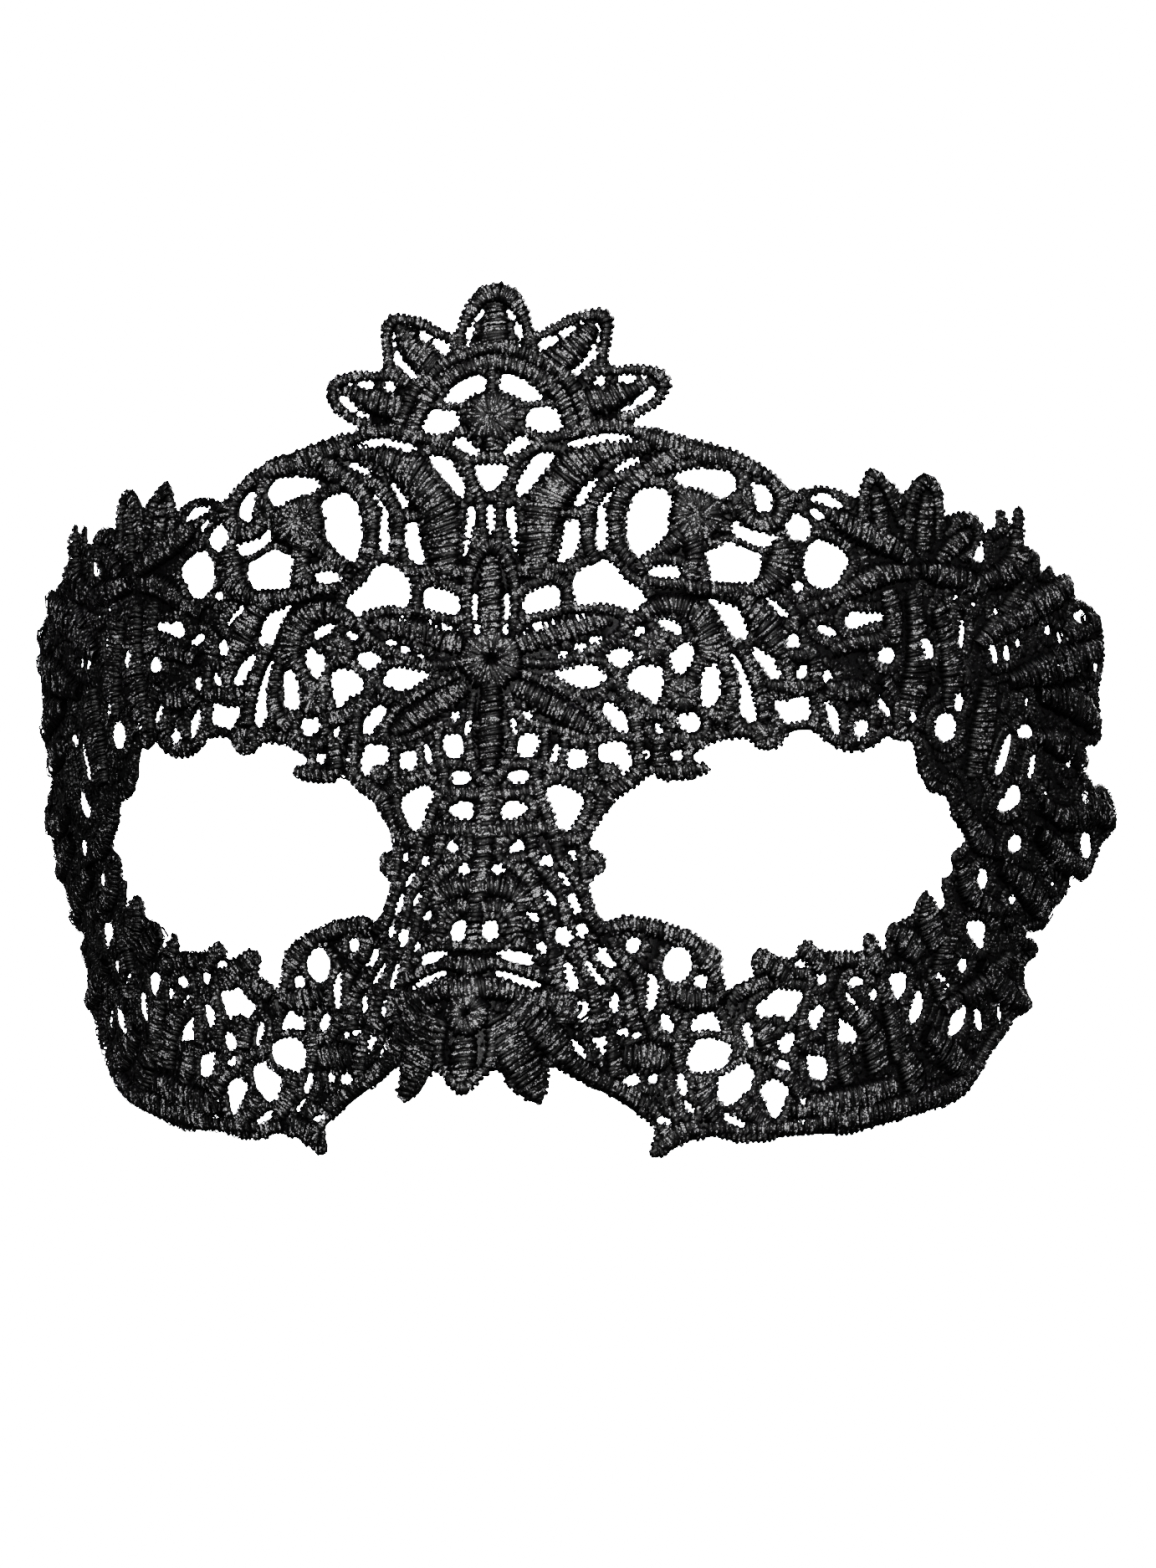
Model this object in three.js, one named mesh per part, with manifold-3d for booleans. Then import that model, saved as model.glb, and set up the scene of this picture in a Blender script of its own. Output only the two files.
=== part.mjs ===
// Black guipure lace eye mask, kept in the form it has when worn.
// Millimetres, +Z up, +X to the wearer's left, the face looks toward -Y.
// The lace is charted flat, pierced and raised there, then bent round the head form.

import * as THREE from "three";
import Module from "manifold-3d";
import { mergeVertices } from "three/addons/utils/BufferGeometryUtils.js";

const wasm = await Module();
wasm.setup();

// Driving dimensions in millimetres
const laceLength = 216;        // laid flat, from one side tip to the other
const laceThickness = 1.3;     // embroidered ground
const reliefHeight = 0.8;      // satin cords and petals above the ground
const cordWidth = 2.4;         // one satin cord
const motifGap = 0.3;          // clearance between neighbouring motifs
const headHalfWidth = 87;      // from the middle plane to the side of the head
const headDepth = 75.5;        // from the brow back to the widest line
const noseHeight = 17;         // how far the nose lifts the lower middle
const noseHalfWidth = 14;      // across, where that lift has faded to a third
const noseStart = -25;         // height at which half of that lift is reached
const noseFade = 8;            // height over which the lift grows
const browLean = 0.0275;       // forward lean of the face line, per millimetre of height
const faceSpan = 60;           // height at which the next four values are read
const faceBow = 0.9;           // forward bow of the face line there
const browFall = 6.5;          // how far the forehead has rolled back there
const upwardSpread = 0.045;    // share by which the head is wider there
const crownTaper = 0.085;      // share by which the crown has narrowed again there
const bendTolerance = 0.22;    // how far a straight edge may leave the head form
const longestFlatEdge = 24;    // longest edge that is left straight
const formChecks = [0.25, 0.5, 0.75]; // shares of an edge at which it is compared with the form
const arcStep = 0.55;          // turn of one facet on an arc, in radians
const gapCorners = 8;          // corners of a round gap
const knotCorners = 8;         // corners of a raised knot
const sectionsPerRow = 1;      // sections of a raised cord from one table row to the next

// The chart is drawn on squares. Every number in the tables below counts squares.
const chartSquares = 216;
const square = laceLength / chartSquares;

// Outer edge of the +X half, from the top of the crown round to the tip under the nose.
// Columns: across, up, bulge of the arc that leads to the next row
const outerEdge = [
  // crown petals
  [0, 61.2, 0.24], [6.2, 53, 0.1], [16.6, 56.9, 0.3], [17.6, 55, -0.05], [16.8, 48.7, 0.05],
  [23.5, 48, 0.35], [26, 45.6, 0.1], [20.3, 40.3, 0],
  // brow cord and temple loop
  [23, 39.5, -0.04], [35, 36.2, 0.12], [43.2, 30.3, 0.3], [52.7, 29.3, 0.1],
  // temple petals
  [54.6, 34.4, 0.15], [59.8, 30.2, 0.1], [63, 33.7, 0.35], [66.4, 31.4, 0], [66.7, 27.4, 0.15],
  [71, 28.2, 0.3], [73.6, 25.3, 0.2], [75.6, 26.1, 0], [75.7, 28.2, 0.8], [77.3, 28.5, 0],
  [78.6, 26, 0], [79.2, 28.6, 0.7], [80.9, 29.2, 0.05], [81, 22.9, 0.2], [83.9, 23, 0.3],
  // side edge
  [84, 20.2, 0], [85, 20, 1], [87.3, 19.5, 0.1], [88.7, 19.7, 0.55], [91.9, 18.2, 0],
  [92, 16.3, 0.1], [95.6, 15.6, 0.18], [99, 12.6, 0.15], [99.9, 8, 0.1], [98.4, 2.9, 0.05],
  [100.2, -3, 0.4], [98.4, -5, 0], [95.8, -5.1, 0], [96.3, -7.4, 0], [95, -8.2, 0],
  [97.6, -9.8, 0.05], [99, -10.9, 0.08], [102, -10.8, 0.25], [108, -16.8, 0.15],
  [103.2, -19.7, 0.1], [102, -23, 0.2], [99.6, -25.1, 0.15], [97.6, -24.9, -0.3], [95.6, -24.6, 0.1],
  [95.5, -26.6, 0.1], [91.6, -29.6, 0.1], [91.8, -31, 0.3], [90.2, -32.4, 0], [86.8, -32.5, -0.6],
  [86.9, -33.4, 0.1], [89.8, -34.2, 0.4], [90, -36.2, 0], [87.9, -37.4, -0.1], [88.4, -40, 0.05],
  [92.4, -43.6, 0.15], [88.1, -45.1, 0.2],
  // lower edge and hook
  [84.2, -49.9, 0.15], [81.4, -55.8, 0.1], [77, -57.7, 0.05], [60, -61.2, 0], [50, -61.1, 0.1],
  [41, -62, 0], [37.5, -61.1, 0.05], [33, -61.8, 0.05], [29, -63.9, 0.5], [27.1, -62.8, -0.1],
  [27.6, -59.8, 0], [22, -56.3, 0.05], [11.3, -50.6, 0.05], [11.3, -54, 0.3], [10.3, -56, 0.2],
  [5, -51.2, -0.2], [3.4, -51.5, 0.1],
  [0, -54.8, 0.1],
];

// Edge of the +X eye opening, from its inner corner along the brow side
// Columns as above; a bulge above 0 curves away from the opening
const eyeEdge = [
  [14.1, -19.6, 0.1], [17.4, -14.4, 0.1], [17.7, -13.5, -0.1], [23, -9.5, 0.4], [24.2, -10.8, -0.15],
  [31.2, -9.4, -0.6], [30.5, -8.2, 0.3], [28.8, -7.3, 0.15], [32.6, -5, 0.05], [36.6, -4.6, -0.5],
  [41.6, -5.4, 0.3], [43.5, -3.7, 0.1], [46.6, -3.8, -0.45], [56.8, -4.8, 0.7], [58.2, -4.4, -0.5],
  [60.9, -4.6, 0.2], [61.8, -6.3, 0.1], [62.6, -9.2, -0.1], [65, -12.2, -0.1], [67.7, -12.7, 0.1],
  [69, -16.2, 0.1], [71.9, -18.9, 0.3], [70, -20.5, -0.5], [70.2, -23, 0.6], [67.9, -24.1, 0],
  [69.5, -28.4, 0.6], [68.3, -28.8, 0], [66, -26.3, -0.4], [64.3, -29.8, 0], [61, -31, -0.4],
  [60, -33, 0], [60.4, -34.8, 0.6], [59.2, -34.2, 0], [57.4, -32.3, -0.6], [56.3, -33, 0],
  [56.5, -35.2, 0], [50, -34.9, 0], [47.6, -33.3, -0.5], [46, -35.8, 0.2], [43.2, -35.6, 0],
  [41.3, -34.6, -0.4], [38.8, -35.8, 0], [39.8, -38.2, 0.2], [37.2, -39.4, 0.1], [36, -41, 0.1],
  [34.3, -34.8, -0.1], [25, -30.5, 0], [20, -29.7, -0.15], [17.4, -30.9, 0.2], [14.6, -25, 0.2],
  [16.2, -23.8, -0.4], [16, -20.8, 0.2],
];

// Gaps between motifs and inside them, on one half: corners, each across and up
const brokenGround = [
  // crown
  [[1, 47.4], [3.6, 47], [6.2, 45.4], [7.6, 43.6], [4.9, 43.2], [2.8, 44.5], [1, 45]],
  [[4.7, 41.2], [5.6, 42.2], [9.1, 42.6], [10.7, 39.9], [9.4, 38.9], [6.6, 38.9], [4.9, 39.8]],
  [[1.4, 36.1], [3.2, 37.9], [5.2, 38.6], [6, 37.6], [4.3, 36.2], [2.6, 35.5]],
  // brow leaf and its bars
  [[2.2, 28.3], [3.5, 28.4], [3.6, 25.4], [4.2, 21.4], [3.6, 21.6], [2.6, 25.2]],
  [[3.6, 30], [3.8, 31.8], [6, 35.2], [7.7, 36.1], [9.9, 35.8], [7.7, 33.2], [5.7, 30.9], [4.6, 29.5]],
  [[10.4, 37], [12.6, 36.5], [14.6, 37.4], [21.8, 37.4], [20.2, 38.2], [17, 38.6], [13.6, 38]],
  [[11.8, 28.4], [13.2, 28.4], [14.2, 30.4], [15.6, 32.2], [14.6, 32.2], [12.8, 30.4]],
  [[10.5, 26.2], [12.6, 26.5], [12.7, 23.5], [12, 21.2], [10.6, 20.4], [9.2, 20.6], [10.3, 23]],
  [[15.4, 28.8], [16.1, 28.8], [16.5, 26], [16.6, 22.4], [15.4, 21.8], [14.9, 22.6], [15.3, 25.5]],
  [[4.6, 13.1], [4.5, 15.4], [6, 16.5], [9.1, 17.2], [9.9, 16.3], [9.8, 14], [7.8, 13.5]],
  [[11.6, 15.2], [11.8, 18.8], [15, 20.9], [17.8, 20.2], [18.3, 18.4], [22.7, 15.3], [20.2, 12.9],
    [18.6, 14.1], [15, 14.6], [12.4, 13.9]],
  // brow scroll
  [[20.2, 29.8], [22, 31], [24.2, 31], [26.2, 29.4], [25.3, 27.4], [25.2, 24.6], [23.2, 22.2],
    [20.6, 20.5], [19.5, 22.4], [19.1, 26]],
  [[25.3, 32.3], [28, 33.6], [32, 33.7], [34.6, 33], [35.4, 31.4], [33.2, 28.7], [32.2, 29.8],
    [29.6, 30.7], [27.6, 30.9]],
  [[36.9, 31.7], [38.8, 31.5], [40, 30], [40, 28], [38.8, 27.2], [37.7, 27.8], [37.5, 29.7]],
  [[34, 26.2], [35.4, 25.7], [37.2, 24.7], [40.9, 24.1], [39.2, 22.7], [37.6, 22.6], [34.4, 23.9]],
  [[30.2, 22.1], [33.4, 23.2], [36, 22], [38.4, 21.2], [38.3, 18.2], [36.5, 17.3], [33, 17.4],
    [30.9, 17.9], [30.6, 20]],
  [[42.2, 26.6], [43.5, 27.6], [44.8, 27], [45.7, 25.5], [43.6, 23.5], [41.8, 24.2]],
  [[44.5, 22.6], [47.4, 23.8], [51.3, 20.8], [49, 17.5], [47.4, 16.5], [44.8, 17.8], [44.4, 20.4]],
  [[21.7, 18.7], [22.8, 19.6], [25, 19.9], [27.4, 19.4], [27.2, 18.4], [25.8, 17.9], [23, 18.1]],
  // between the centre flower and the eye opening
  [[27.5, 9.2], [28.8, 8.2], [28.4, 6.4], [26.6, 4.1], [25.5, 5.6], [25.8, 7.8]],
  [[16.2, 7], [17.6, 8.2], [19.3, 8.2], [20.4, 7], [18.8, 5.3], [17.2, 5.9]],
  [[19, 3.6], [20.4, 5.3], [24, 5.7], [24.7, 3.6], [23.6, 0.3], [21.4, 0.8], [19.3, 2.2]],
  [[8.3, 4.7], [11.5, 5.3], [14.2, 6.1], [16.8, 4], [15, 2.8], [12.8, 2.4], [10.6, 3.4]],
  [[30.1, 5.7], [31.5, 6.2], [32.5, 4.5], [32.4, 2], [31.6, 0], [30.5, -0.1], [29.8, 2.5]],
  [[33.7, 7.6], [34.8, 6.6], [36.2, 3.2], [37.7, -2], [36.8, -3], [35.7, -1.5], [35.5, 1.5]],
  [[30.7, 15.2], [32.5, 14.7], [34.6, 13.5], [36.5, 10.1], [35, 9.4], [33.7, 9.7], [32.6, 12]],
  [[36.9, 7.8], [37.8, 8.3], [40, 6.9], [41, 4.6], [40.4, 3.8], [39.2, 4.2]],
  [[39.9, 0.6], [42.4, 0.6], [44.8, 1.3], [45.5, -0.5], [45.3, -1.9], [41.9, -2.5], [40.5, -1.2]],
  [[50.2, 11.6], [51.4, 13.5], [54.2, 13.2], [56, 13.6], [56.5, 12.2], [53.4, 11.6], [51.4, 10.7]],
  [[47.5, 1.1], [48.3, 0.6], [50, -2], [50, -4.6], [48.6, -3.2], [47.7, -0.8]],
  // temple and side
  [[45.3, 30], [48.4, 30.2], [50.6, 28.4], [50.2, 27.7], [48.4, 28.6], [46, 29]],
  [[78.6, -3], [79, -4.6], [78, -8.6], [76.8, -10.1], [76, -9.4], [76.8, -6.4]],
  [[76.6, -14.2], [78.4, -13], [79.2, -11.2], [80.4, -10.7], [81.8, -12], [81.6, -14], [78.4, -15.4]],
  [[96.4, -18.5], [98, -17.6], [100, -18.2], [101, -21], [99.6, -22.2], [97.6, -21]],
  // nose bridge
  [[4.3, -4], [7.3, -4.2], [6.4, -7.2], [3.9, -7.3]],
  [[15.2, -5.8], [17.2, -5], [19.2, -5.4], [20, -7.6], [19.8, -9.4], [18.7, -10], [18.2, -8.3], [15.5, -8]],
  [[1.9, -14.3], [3.6, -13.6], [5.8, -14.3], [5.9, -15], [4.6, -16.1], [2.2, -16.5]],
  [[8.8, -10.9], [11.4, -11.7], [14, -13.3], [11.8, -17.6], [10.8, -18.1], [9.8, -17.4], [9.2, -14.9],
    [8, -12.8]],
  [[3, -35.1], [5, -34.5], [8.2, -35.2], [8.2, -36.8], [5.4, -36.2]],
  // cheek
  [[23.7, -37.9], [24.6, -38], [25.7, -40], [25, -43.4], [23.8, -43.2], [24, -40]],
  [[30.8, -44.8], [33.6, -43.4], [36, -46.2], [33, -46], [31.3, -46.4]],
  [[31.2, -50.6], [31.4, -48], [33.6, -47.2], [36.6, -47.8], [37.8, -49.6], [36.4, -51.6], [33.6, -52.3]],
  [[36.2, -53.4], [39.6, -50.9], [41.8, -51.6], [41.6, -54.4], [40, -56.4], [38, -56.9], [36.3, -55.2]],
  [[43.2, -54], [44.2, -53], [48.8, -54.6], [47.4, -56.4], [47, -59], [44.8, -57.6]],
  [[40.2, -42.8], [43, -40.2], [48, -40.4], [46.8, -44], [45.4, -44.9], [44, -43.8], [41.6, -44.8]],
  [[49.8, -49.9], [53.2, -49.9], [54.2, -52.8], [52, -53.6], [50, -52]],
  [[53.8, -43.9], [57.2, -46.6], [58.1, -48.6], [55, -48]],
  [[60.9, -38.6], [63.2, -37.9], [64.8, -38.4], [64.4, -42.2], [62.6, -40.6]],
  [[67.3, -40.2], [68.8, -43.4], [67.2, -46], [66.2, -45.2], [66.4, -41.8]],
  [[74, -30.9], [77.8, -30.7], [78.2, -35.6], [75.6, -33.6], [74, -32.4]],
  [[74.2, -44.7], [76, -43], [77, -43.2], [77.3, -46.2], [75, -47.8], [74.2, -47.2]],
];

// Round and oval gaps of the +X half
// Columns: across, up, width, height, turn in degrees
const ovalGaps = [
  [53.2, -3.3, 2.4, 3.2, -15], [66.8, -2.9, 3.8, 4.3, 15], [93.2, 13.7, 3.6, 2.1, -5],
  [81.5, -19.6, 3.1, 2.9, 0], [12.3, -7.6, 3, 2.9, 0], [2.2, -32, 2.4, 3, 0],
  [46, -48, 2.6, 2.6, 0], [28, -36.8, 4.6, 5.3, 0],
];

// Gaps on the middle line, drawn once
const middleGaps = [
  [[-2.9, 34.4], [2.9, 34.4], [1.6, 31.6], [0, 30.2], [-1.6, 31.6]],
  [[-0.6, 28.6], [0.6, 28.6], [0.5, 25], [0, 24.5], [-0.5, 25]],
];

// Raised satin cords and leaves of the +X half: points, each across, up and width in cords
const satinPairs = [
  // crown petals, brow leaf and its bar
  [[10, 48.4, 1.6], [12.6, 51.4, 1.9], [15.4, 54.4, 0.8]],
  [[14, 43.6, 1.6], [18.4, 44.6, 1.7], [23, 45.5, 0.8]],
  [[6.6, 18.8, 1.2], [6.8, 24.5, 2.5], [9.4, 31.4, 2.5], [14.6, 35.2, 1.5], [20, 36.6, 0.7]],
  [[15, 20.4, 0.8], [13.7, 25, 0.9], [15.4, 30.4, 0.9], [18.6, 32.8, 0.7]],
  // brow scroll
  [[13, 39.3, 0.8], [25, 37.3, 1.3], [38.7, 33.3, 1.2], [41.8, 28.4, 1.2], [38.5, 25.7, 1],
    [35.4, 28.2, 1.1]],
  [[19.9, 20.4, 1], [17.7, 25, 1.1], [18.8, 30, 1.1], [26, 35, 1]],
  [[31, 16.4, 0.9], [37, 16.6, 1.1], [41.3, 20, 2], [41.4, 24.4, 0.7]],
  // between the centre flower and the eye opening
  [[20.4, 12, 0.9], [25.8, 14.2, 1.2], [30.4, 11, 1.7], [30.4, 6, 1]],
  [[32.8, 8.6, 0.7], [33.9, 3.6, 0.8], [33, -2, 1.2]],
  [[34.8, 9.2, 0.8], [37.4, 4, 0.8], [39.4, -5, 1]],
  [[34.8, 15.4, 1], [38, 12.2, 1.8], [41, 7.6, 0.8]],
  [[46.6, 2.4, 0.8], [47.2, -3.2, 0.8], [52.4, -6.1, 0.8], [55.6, -3, 0.8], [53, 2.2, 0.9]],
  // centre flower
  [[4, 8.4, 1.3], [10, 9.4, 1.8], [17.4, 11.4, 0.9]],
  [[3.2, 3.8, 1.3], [8.6, 0.4, 1.7], [14.4, -3.2, 0.8]],
  // temple petals
  [[57, 18, 1], [55.8, 26, 2], [55, 32.8, 1.4]],
  [[61, 18, 1], [62.8, 26, 2.2], [64.2, 32, 1.4]],
  [[64, 16, 1], [68, 21.5, 2], [70.6, 26.4, 1.2]],
  [[58, 14.8, 1], [53, 17.6, 2], [49.4, 25.6, 1]],
  [[61, 10, 1], [61.6, 3, 2.2], [59.4, -2.6, 1]],
  // side
  [[72, 18, 1], [79, 20.6, 2], [80.2, 27.8, 0.8]],
  [[74, 11, 1], [84, 15.4, 2], [90.4, 18.4, 1.2]],
  [[78, 4, 1], [89, 6.6, 2.4], [98, 9.4, 1.2]],
  [[86, -14, 1], [93, -16, 1.6], [100, -14.4, 2], [106.4, -16.6, 0.8]],
  [[79, -23, 1], [86.6, -26.8, 2], [90.8, -30.6, 1]],
  // nose bridge and nose flower
  [[7.7, -8, 0.7], [7.3, -12.5, 0.7], [10.4, -19.4, 0.8], [15.8, -30, 0.8]],
  [[3, -41, 1], [7, -47.6, 2], [10.2, -55, 0.7]],
  // cheek scroll and hook
  [[17.6, -32, 0.9], [24, -31.6, 1], [31, -34, 1.2], [34, -39, 1]],
  [[19.6, -36.4, 0.9], [22.4, -40, 1], [22, -46, 1.1], [25.6, -50, 1.5]],
  [[19, -53.2, 0.8], [27, -56.8, 0.8], [31.4, -58.4, 0.8]],
  // cheek flower and lower border
  [[40.4, -36.2, 1.1], [43.4, -38.1, 1.2], [48.6, -39.4, 0.8]],
  [[57.6, -33.6, 0.9], [60, -37, 1.3], [62, -44, 1]],
  [[66.4, -28, 0.9], [69.6, -33, 2], [71.4, -36.4, 1]],
  [[55.4, -42.2, 0.7], [60, -46.8, 1.6], [62.6, -52, 1.6]],
  [[84, -36, 1], [79.6, -40, 1.6], [72, -43.6, 1]],
  [[36, -60, 0.8], [50, -60, 0.9], [66, -57.8, 1.6], [79, -54.4, 1.3], [85, -47, 0.9]],
];

// Raised satin on the middle line, drawn once, with the same columns
const satinMiddle = [
  [[-12.1, 38.9, 1.1], [-8.6, 45.6, 1.1], [0, 49.1, 1.1], [8.6, 45.6, 1.1], [12.1, 38.9, 1.1]],
  [[0, 51, 1.7], [0, 54.6, 1.9], [0, 59, 0.9]],
  [[0, 10, 1.4], [0, 15, 1.9], [0, 21.6, 0.8]],
  [[0, 4, 1.4], [0, -3, 1.8], [0, -9.8, 0.8]],
  [[0, -19, 1], [0, -26, 1.3], [0, -33.6, 0.7]],
  [[0, -40, 2], [0, -47.6, 3], [0, -54, 1]],
];

// Raised knots and rosettes: across, up, half width, half height
const knotPairs = [[29.3, 27.1, 4, 3.9], [35.8, 28.8, 1.8, 1.8], [22.7, 8.3, 2.3, 2.1], [27.1, 1.6, 2.3, 2.6]];
const knotMiddle = [[0, 41.2, 4.2, 3.5], [0, 6.9, 4.4, 4.1]];

// Where one motif ends and the next begins: points, each across and up
const seamPairs = [
  // crown and brow
  [[23, 41.4], [16, 40.7], [11.2, 39.5], [8, 40], [5.6, 38], [3.6, 37.2], [0, 36.7]],
  [[15, 42], [14.6, 37.6], [21.6, 37.4], [16.2, 30.6], [15.4, 25.5], [15.4, 22], [15, 20]],
  [[12.4, 16], [7, 15], [4.4, 15.8], [4, 21.6], [3, 23.6], [1.4, 23.6], [0, 25]],
  [[21, 14.4], [24.6, 15.6], [31, 15], [34.2, 14.6], [37.4, 15.9], [42.4, 12.2]],
  [[43.2, 32.4], [43.7, 27], [43.6, 24], [45.4, 22.4], [45.6, 18], [43.4, 16.6], [40.4, 13]],
  // brow lace against its neighbours
  [[42.4, 12.2], [46.6, 11.2], [49, 10], [56.6, 7], [60.8, 1], [61.2, -6]],
  [[20.4, 14], [21, 10.4], [20.2, 7], [20.2, 4.6], [19.2, 3], [16.8, 0.4], [19, -3.6], [18.6, -6]],
  [[19.8, -7.4], [22, -7.5], [23.6, -11]],
  [[17, -6.4], [12.4, -7.4], [9.2, -6.8], [5.6, -6], [3.6, -8.6], [2.6, -11.6], [0, -12.2]],
  // temple, side and cheek
  [[73.8, 28], [73.1, 24.4], [71.9, 21.6], [70.6, 12], [69, 1], [66.6, -3.2], [60.6, -6.4]],
  [[68.6, -27.4], [69.4, -29.8], [75, -31.2], [88, -33]],
  // nose, cheek scroll and cheek flower
  [[18, -30.2], [13, -33], [8.6, -35.6], [4.2, -35.4], [0, -34.4]],
  [[7.8, -36.2], [9.2, -39.6], [12.6, -44.5], [13.6, -53]],
  [[35.8, -39], [35.4, -44.4], [33, -45], [34, -49.6], [33.6, -53], [34.6, -64]],
];

// Motifs and a point near the middle of each: name, across, up
const middleMotifs = [
  ["crown_fan", 0, 48], ["brow_medallion", 0, 28], ["centre_flower", 0, 5],
  ["nose_bridge", 0, -22], ["nose_flower", 0, -44],
];
const pairedMotifs = [
  ["brow_scroll", 31, 25], ["brow_lace", 35, 5], ["temple_flower", 59, 18], ["side_wing", 82, -3],
  ["cheek_scroll", 24, -46], ["cheek_flower", 62, -46],
];

// Points along one arc of an edge table, without its end point
function arcPoints([startX, startY, bulge], [endX, endY]) {
  const sweep = 4 * Math.atan(bulge);
  const steps = Math.max(1, Math.round(Math.abs(sweep) / arcStep));
  const points = [];
  for (let step = 0; step < steps; step++) {
    const share = step / steps;
    const angle = sweep * (share - 0.5);
    const along = steps === 1 ? 0 : 0.5 + Math.sin(angle) / (2 * Math.sin(sweep / 2));
    const rise = steps === 1 ? 0 : (Math.cos(angle) - Math.cos(sweep / 2)) / (2 * Math.sin(sweep / 2));
    points.push([
      startX + (endX - startX) * along - (endY - startY) * rise,
      startY + (endY - startY) * along + (endX - startX) * rise,
    ]);
  }
  return points;
}

function edgeLine(rows, closed) {
  const points = [];
  const last = closed ? rows.length : rows.length - 1;
  for (let index = 0; index < last; index++) {
    points.push(...arcPoints(rows[index], rows[(index + 1) % rows.length]));
  }
  return closed ? points : [...points, rows[rows.length - 1].slice(0, 2)];
}

function ovalLine([x, y, width, height, turn]) {
  const tilt = THREE.MathUtils.degToRad(turn);
  return Array.from({ length: gapCorners }, (_, corner) => {
    const angle = (corner + 0.5) * 2 * Math.PI / gapCorners;
    const across = Math.cos(angle) * width / 2;
    const up = Math.sin(angle) * height / 2;
    return [
      x + across * Math.cos(tilt) - up * Math.sin(tilt),
      y + across * Math.sin(tilt) + up * Math.cos(tilt),
    ];
  });
}

const mirrored = (points) => points.map(([x, ...rest]) => [-x, ...rest]).reverse();
const bothSides = (rows) => rows.flatMap((points) => [points, mirrored(points)]);

// A closed solid from a three.js geometry
function solidOf(geometry) {
  geometry.deleteAttribute("normal");
  geometry.deleteAttribute("uv");
  const merged = mergeVertices(geometry, 1e-4);
  return new wasm.Manifold(new wasm.Mesh({
    numProp: 3,
    vertProperties: new Float32Array(merged.attributes.position.array),
    triVerts: new Uint32Array(merged.index.array),
  }));
}

// A flat outline in chart squares, pulled up into a plate between two heights in millimetres
function plate(points, low, high) {
  const shape = new THREE.Shape(points.map(([x, y]) => new THREE.Vector2(x * square, y * square)));
  const geometry = new THREE.ExtrudeGeometry(shape, { depth: high - low, bevelEnabled: false });
  geometry.translate(0, 0, low);
  return solidOf(geometry);
}

// A raised cord: a low roof along a smooth path, as wide as its rows say
function raisedCord(rows) {
  const path = new THREE.SplineCurve(rows.map(([x, y]) => new THREE.Vector2(x * square, y * square)));
  const steps = (rows.length - 1) * sectionsPerRow;
  const sections = [];
  for (let step = 0; step <= steps; step++) {
    const share = step / steps;
    const row = Math.min(Math.floor(step / sectionsPerRow), rows.length - 2);
    const between = step / sectionsPerRow - row;
    const width = THREE.MathUtils.lerp(rows[row][2], rows[row + 1][2], between) * cordWidth;
    const centre = path.getPoint(share);
    const along = path.getTangent(share);
    const side = new THREE.Vector2(-along.y, along.x).multiplyScalar(width / 2);
    const foot = laceThickness / 2;
    sections.push(
      new THREE.Vector3(centre.x - side.x, centre.y - side.y, foot),
      new THREE.Vector3(centre.x + side.x, centre.y + side.y, foot),
      new THREE.Vector3(centre.x, centre.y, laceThickness + reliefHeight),
    );
  }
  const index = [0, 2, 1];
  for (let step = 0; step < steps; step++) {
    const near = step * 3;
    for (const [a, b] of [[0, 1], [1, 2], [2, 0]]) {
      index.push(near + a, near + b, near + 3 + b, near + a, near + 3 + b, near + 3 + a);
    }
  }
  index.push(steps * 3, steps * 3 + 1, steps * 3 + 2);
  const geometry = new THREE.BufferGeometry().setFromPoints(sections);
  geometry.setIndex(index);
  return solidOf(geometry);
}

// A raised knot: a low cone with a round foot
function raisedKnot([x, y, halfWidth, halfHeight]) {
  const geometry = new THREE.ConeGeometry(1, reliefHeight + laceThickness / 2, knotCorners);
  geometry.rotateX(Math.PI / 2);
  geometry.scale(halfWidth * square, halfHeight * square, 1);
  geometry.translate(x * square, y * square, laceThickness + reliefHeight / 2 - laceThickness / 4);
  return solidOf(geometry);
}

// A seam as a narrow outline on both sides of its points
function seamOutline(points) {
  const line = points.map(([x, y]) => new THREE.Vector2(x, y));
  const reach = motifGap / square / 2;
  const offsets = line.map((point, index) => {
    const before = line[Math.max(index - 1, 0)];
    const after = line[Math.min(index + 1, line.length - 1)];
    const first = point.clone().sub(before).normalize();
    const second = after.clone().sub(point).normalize();
    const along = first.add(second).normalize();
    const turn = Math.max(along.dot(index ? point.clone().sub(before).normalize() : second), 0.5);
    return new THREE.Vector2(-along.y, along.x).multiplyScalar(reach / turn);
  });
  const left = line.map((point, index) => [point.x + offsets[index].x, point.y + offsets[index].y]);
  const right = line.map((point, index) => [point.x - offsets[index].x, point.y - offsets[index].y]);
  return [...left, ...right.reverse()];
}

// The whole lace, laid flat: ground, relief, gaps and the gaps between motifs
function flatLace() {
  const top = laceThickness + reliefHeight;
  const below = -1;
  const above = top + 1;
  const half = edgeLine(outerEdge, false);
  const outline = [...half, ...mirrored(half).slice(1, -1)];
  let lace = plate(outline, 0, laceThickness);
  const relief = [
    ...bothSides(satinPairs).map(raisedCord),
    ...satinMiddle.map(raisedCord),
    ...knotPairs.flatMap((row) => [raisedKnot(row), raisedKnot([-row[0], ...row.slice(1)])]),
    ...knotMiddle.map(raisedKnot),
  ];
  for (const raised of relief) lace = lace.add(raised);
  lace = lace.intersect(plate(outline, below, above));
  const openings = [
    ...bothSides([edgeLine(eyeEdge, true), ...brokenGround, ...ovalGaps.map(ovalLine)]),
    ...middleGaps,
  ];
  for (const opening of openings) lace = lace.subtract(plate(opening, below, above));
  for (const seam of bothSides(seamPairs)) lace = lace.subtract(plate(seamOutline(seam), below, above));
  return lace.getMesh();
}

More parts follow.
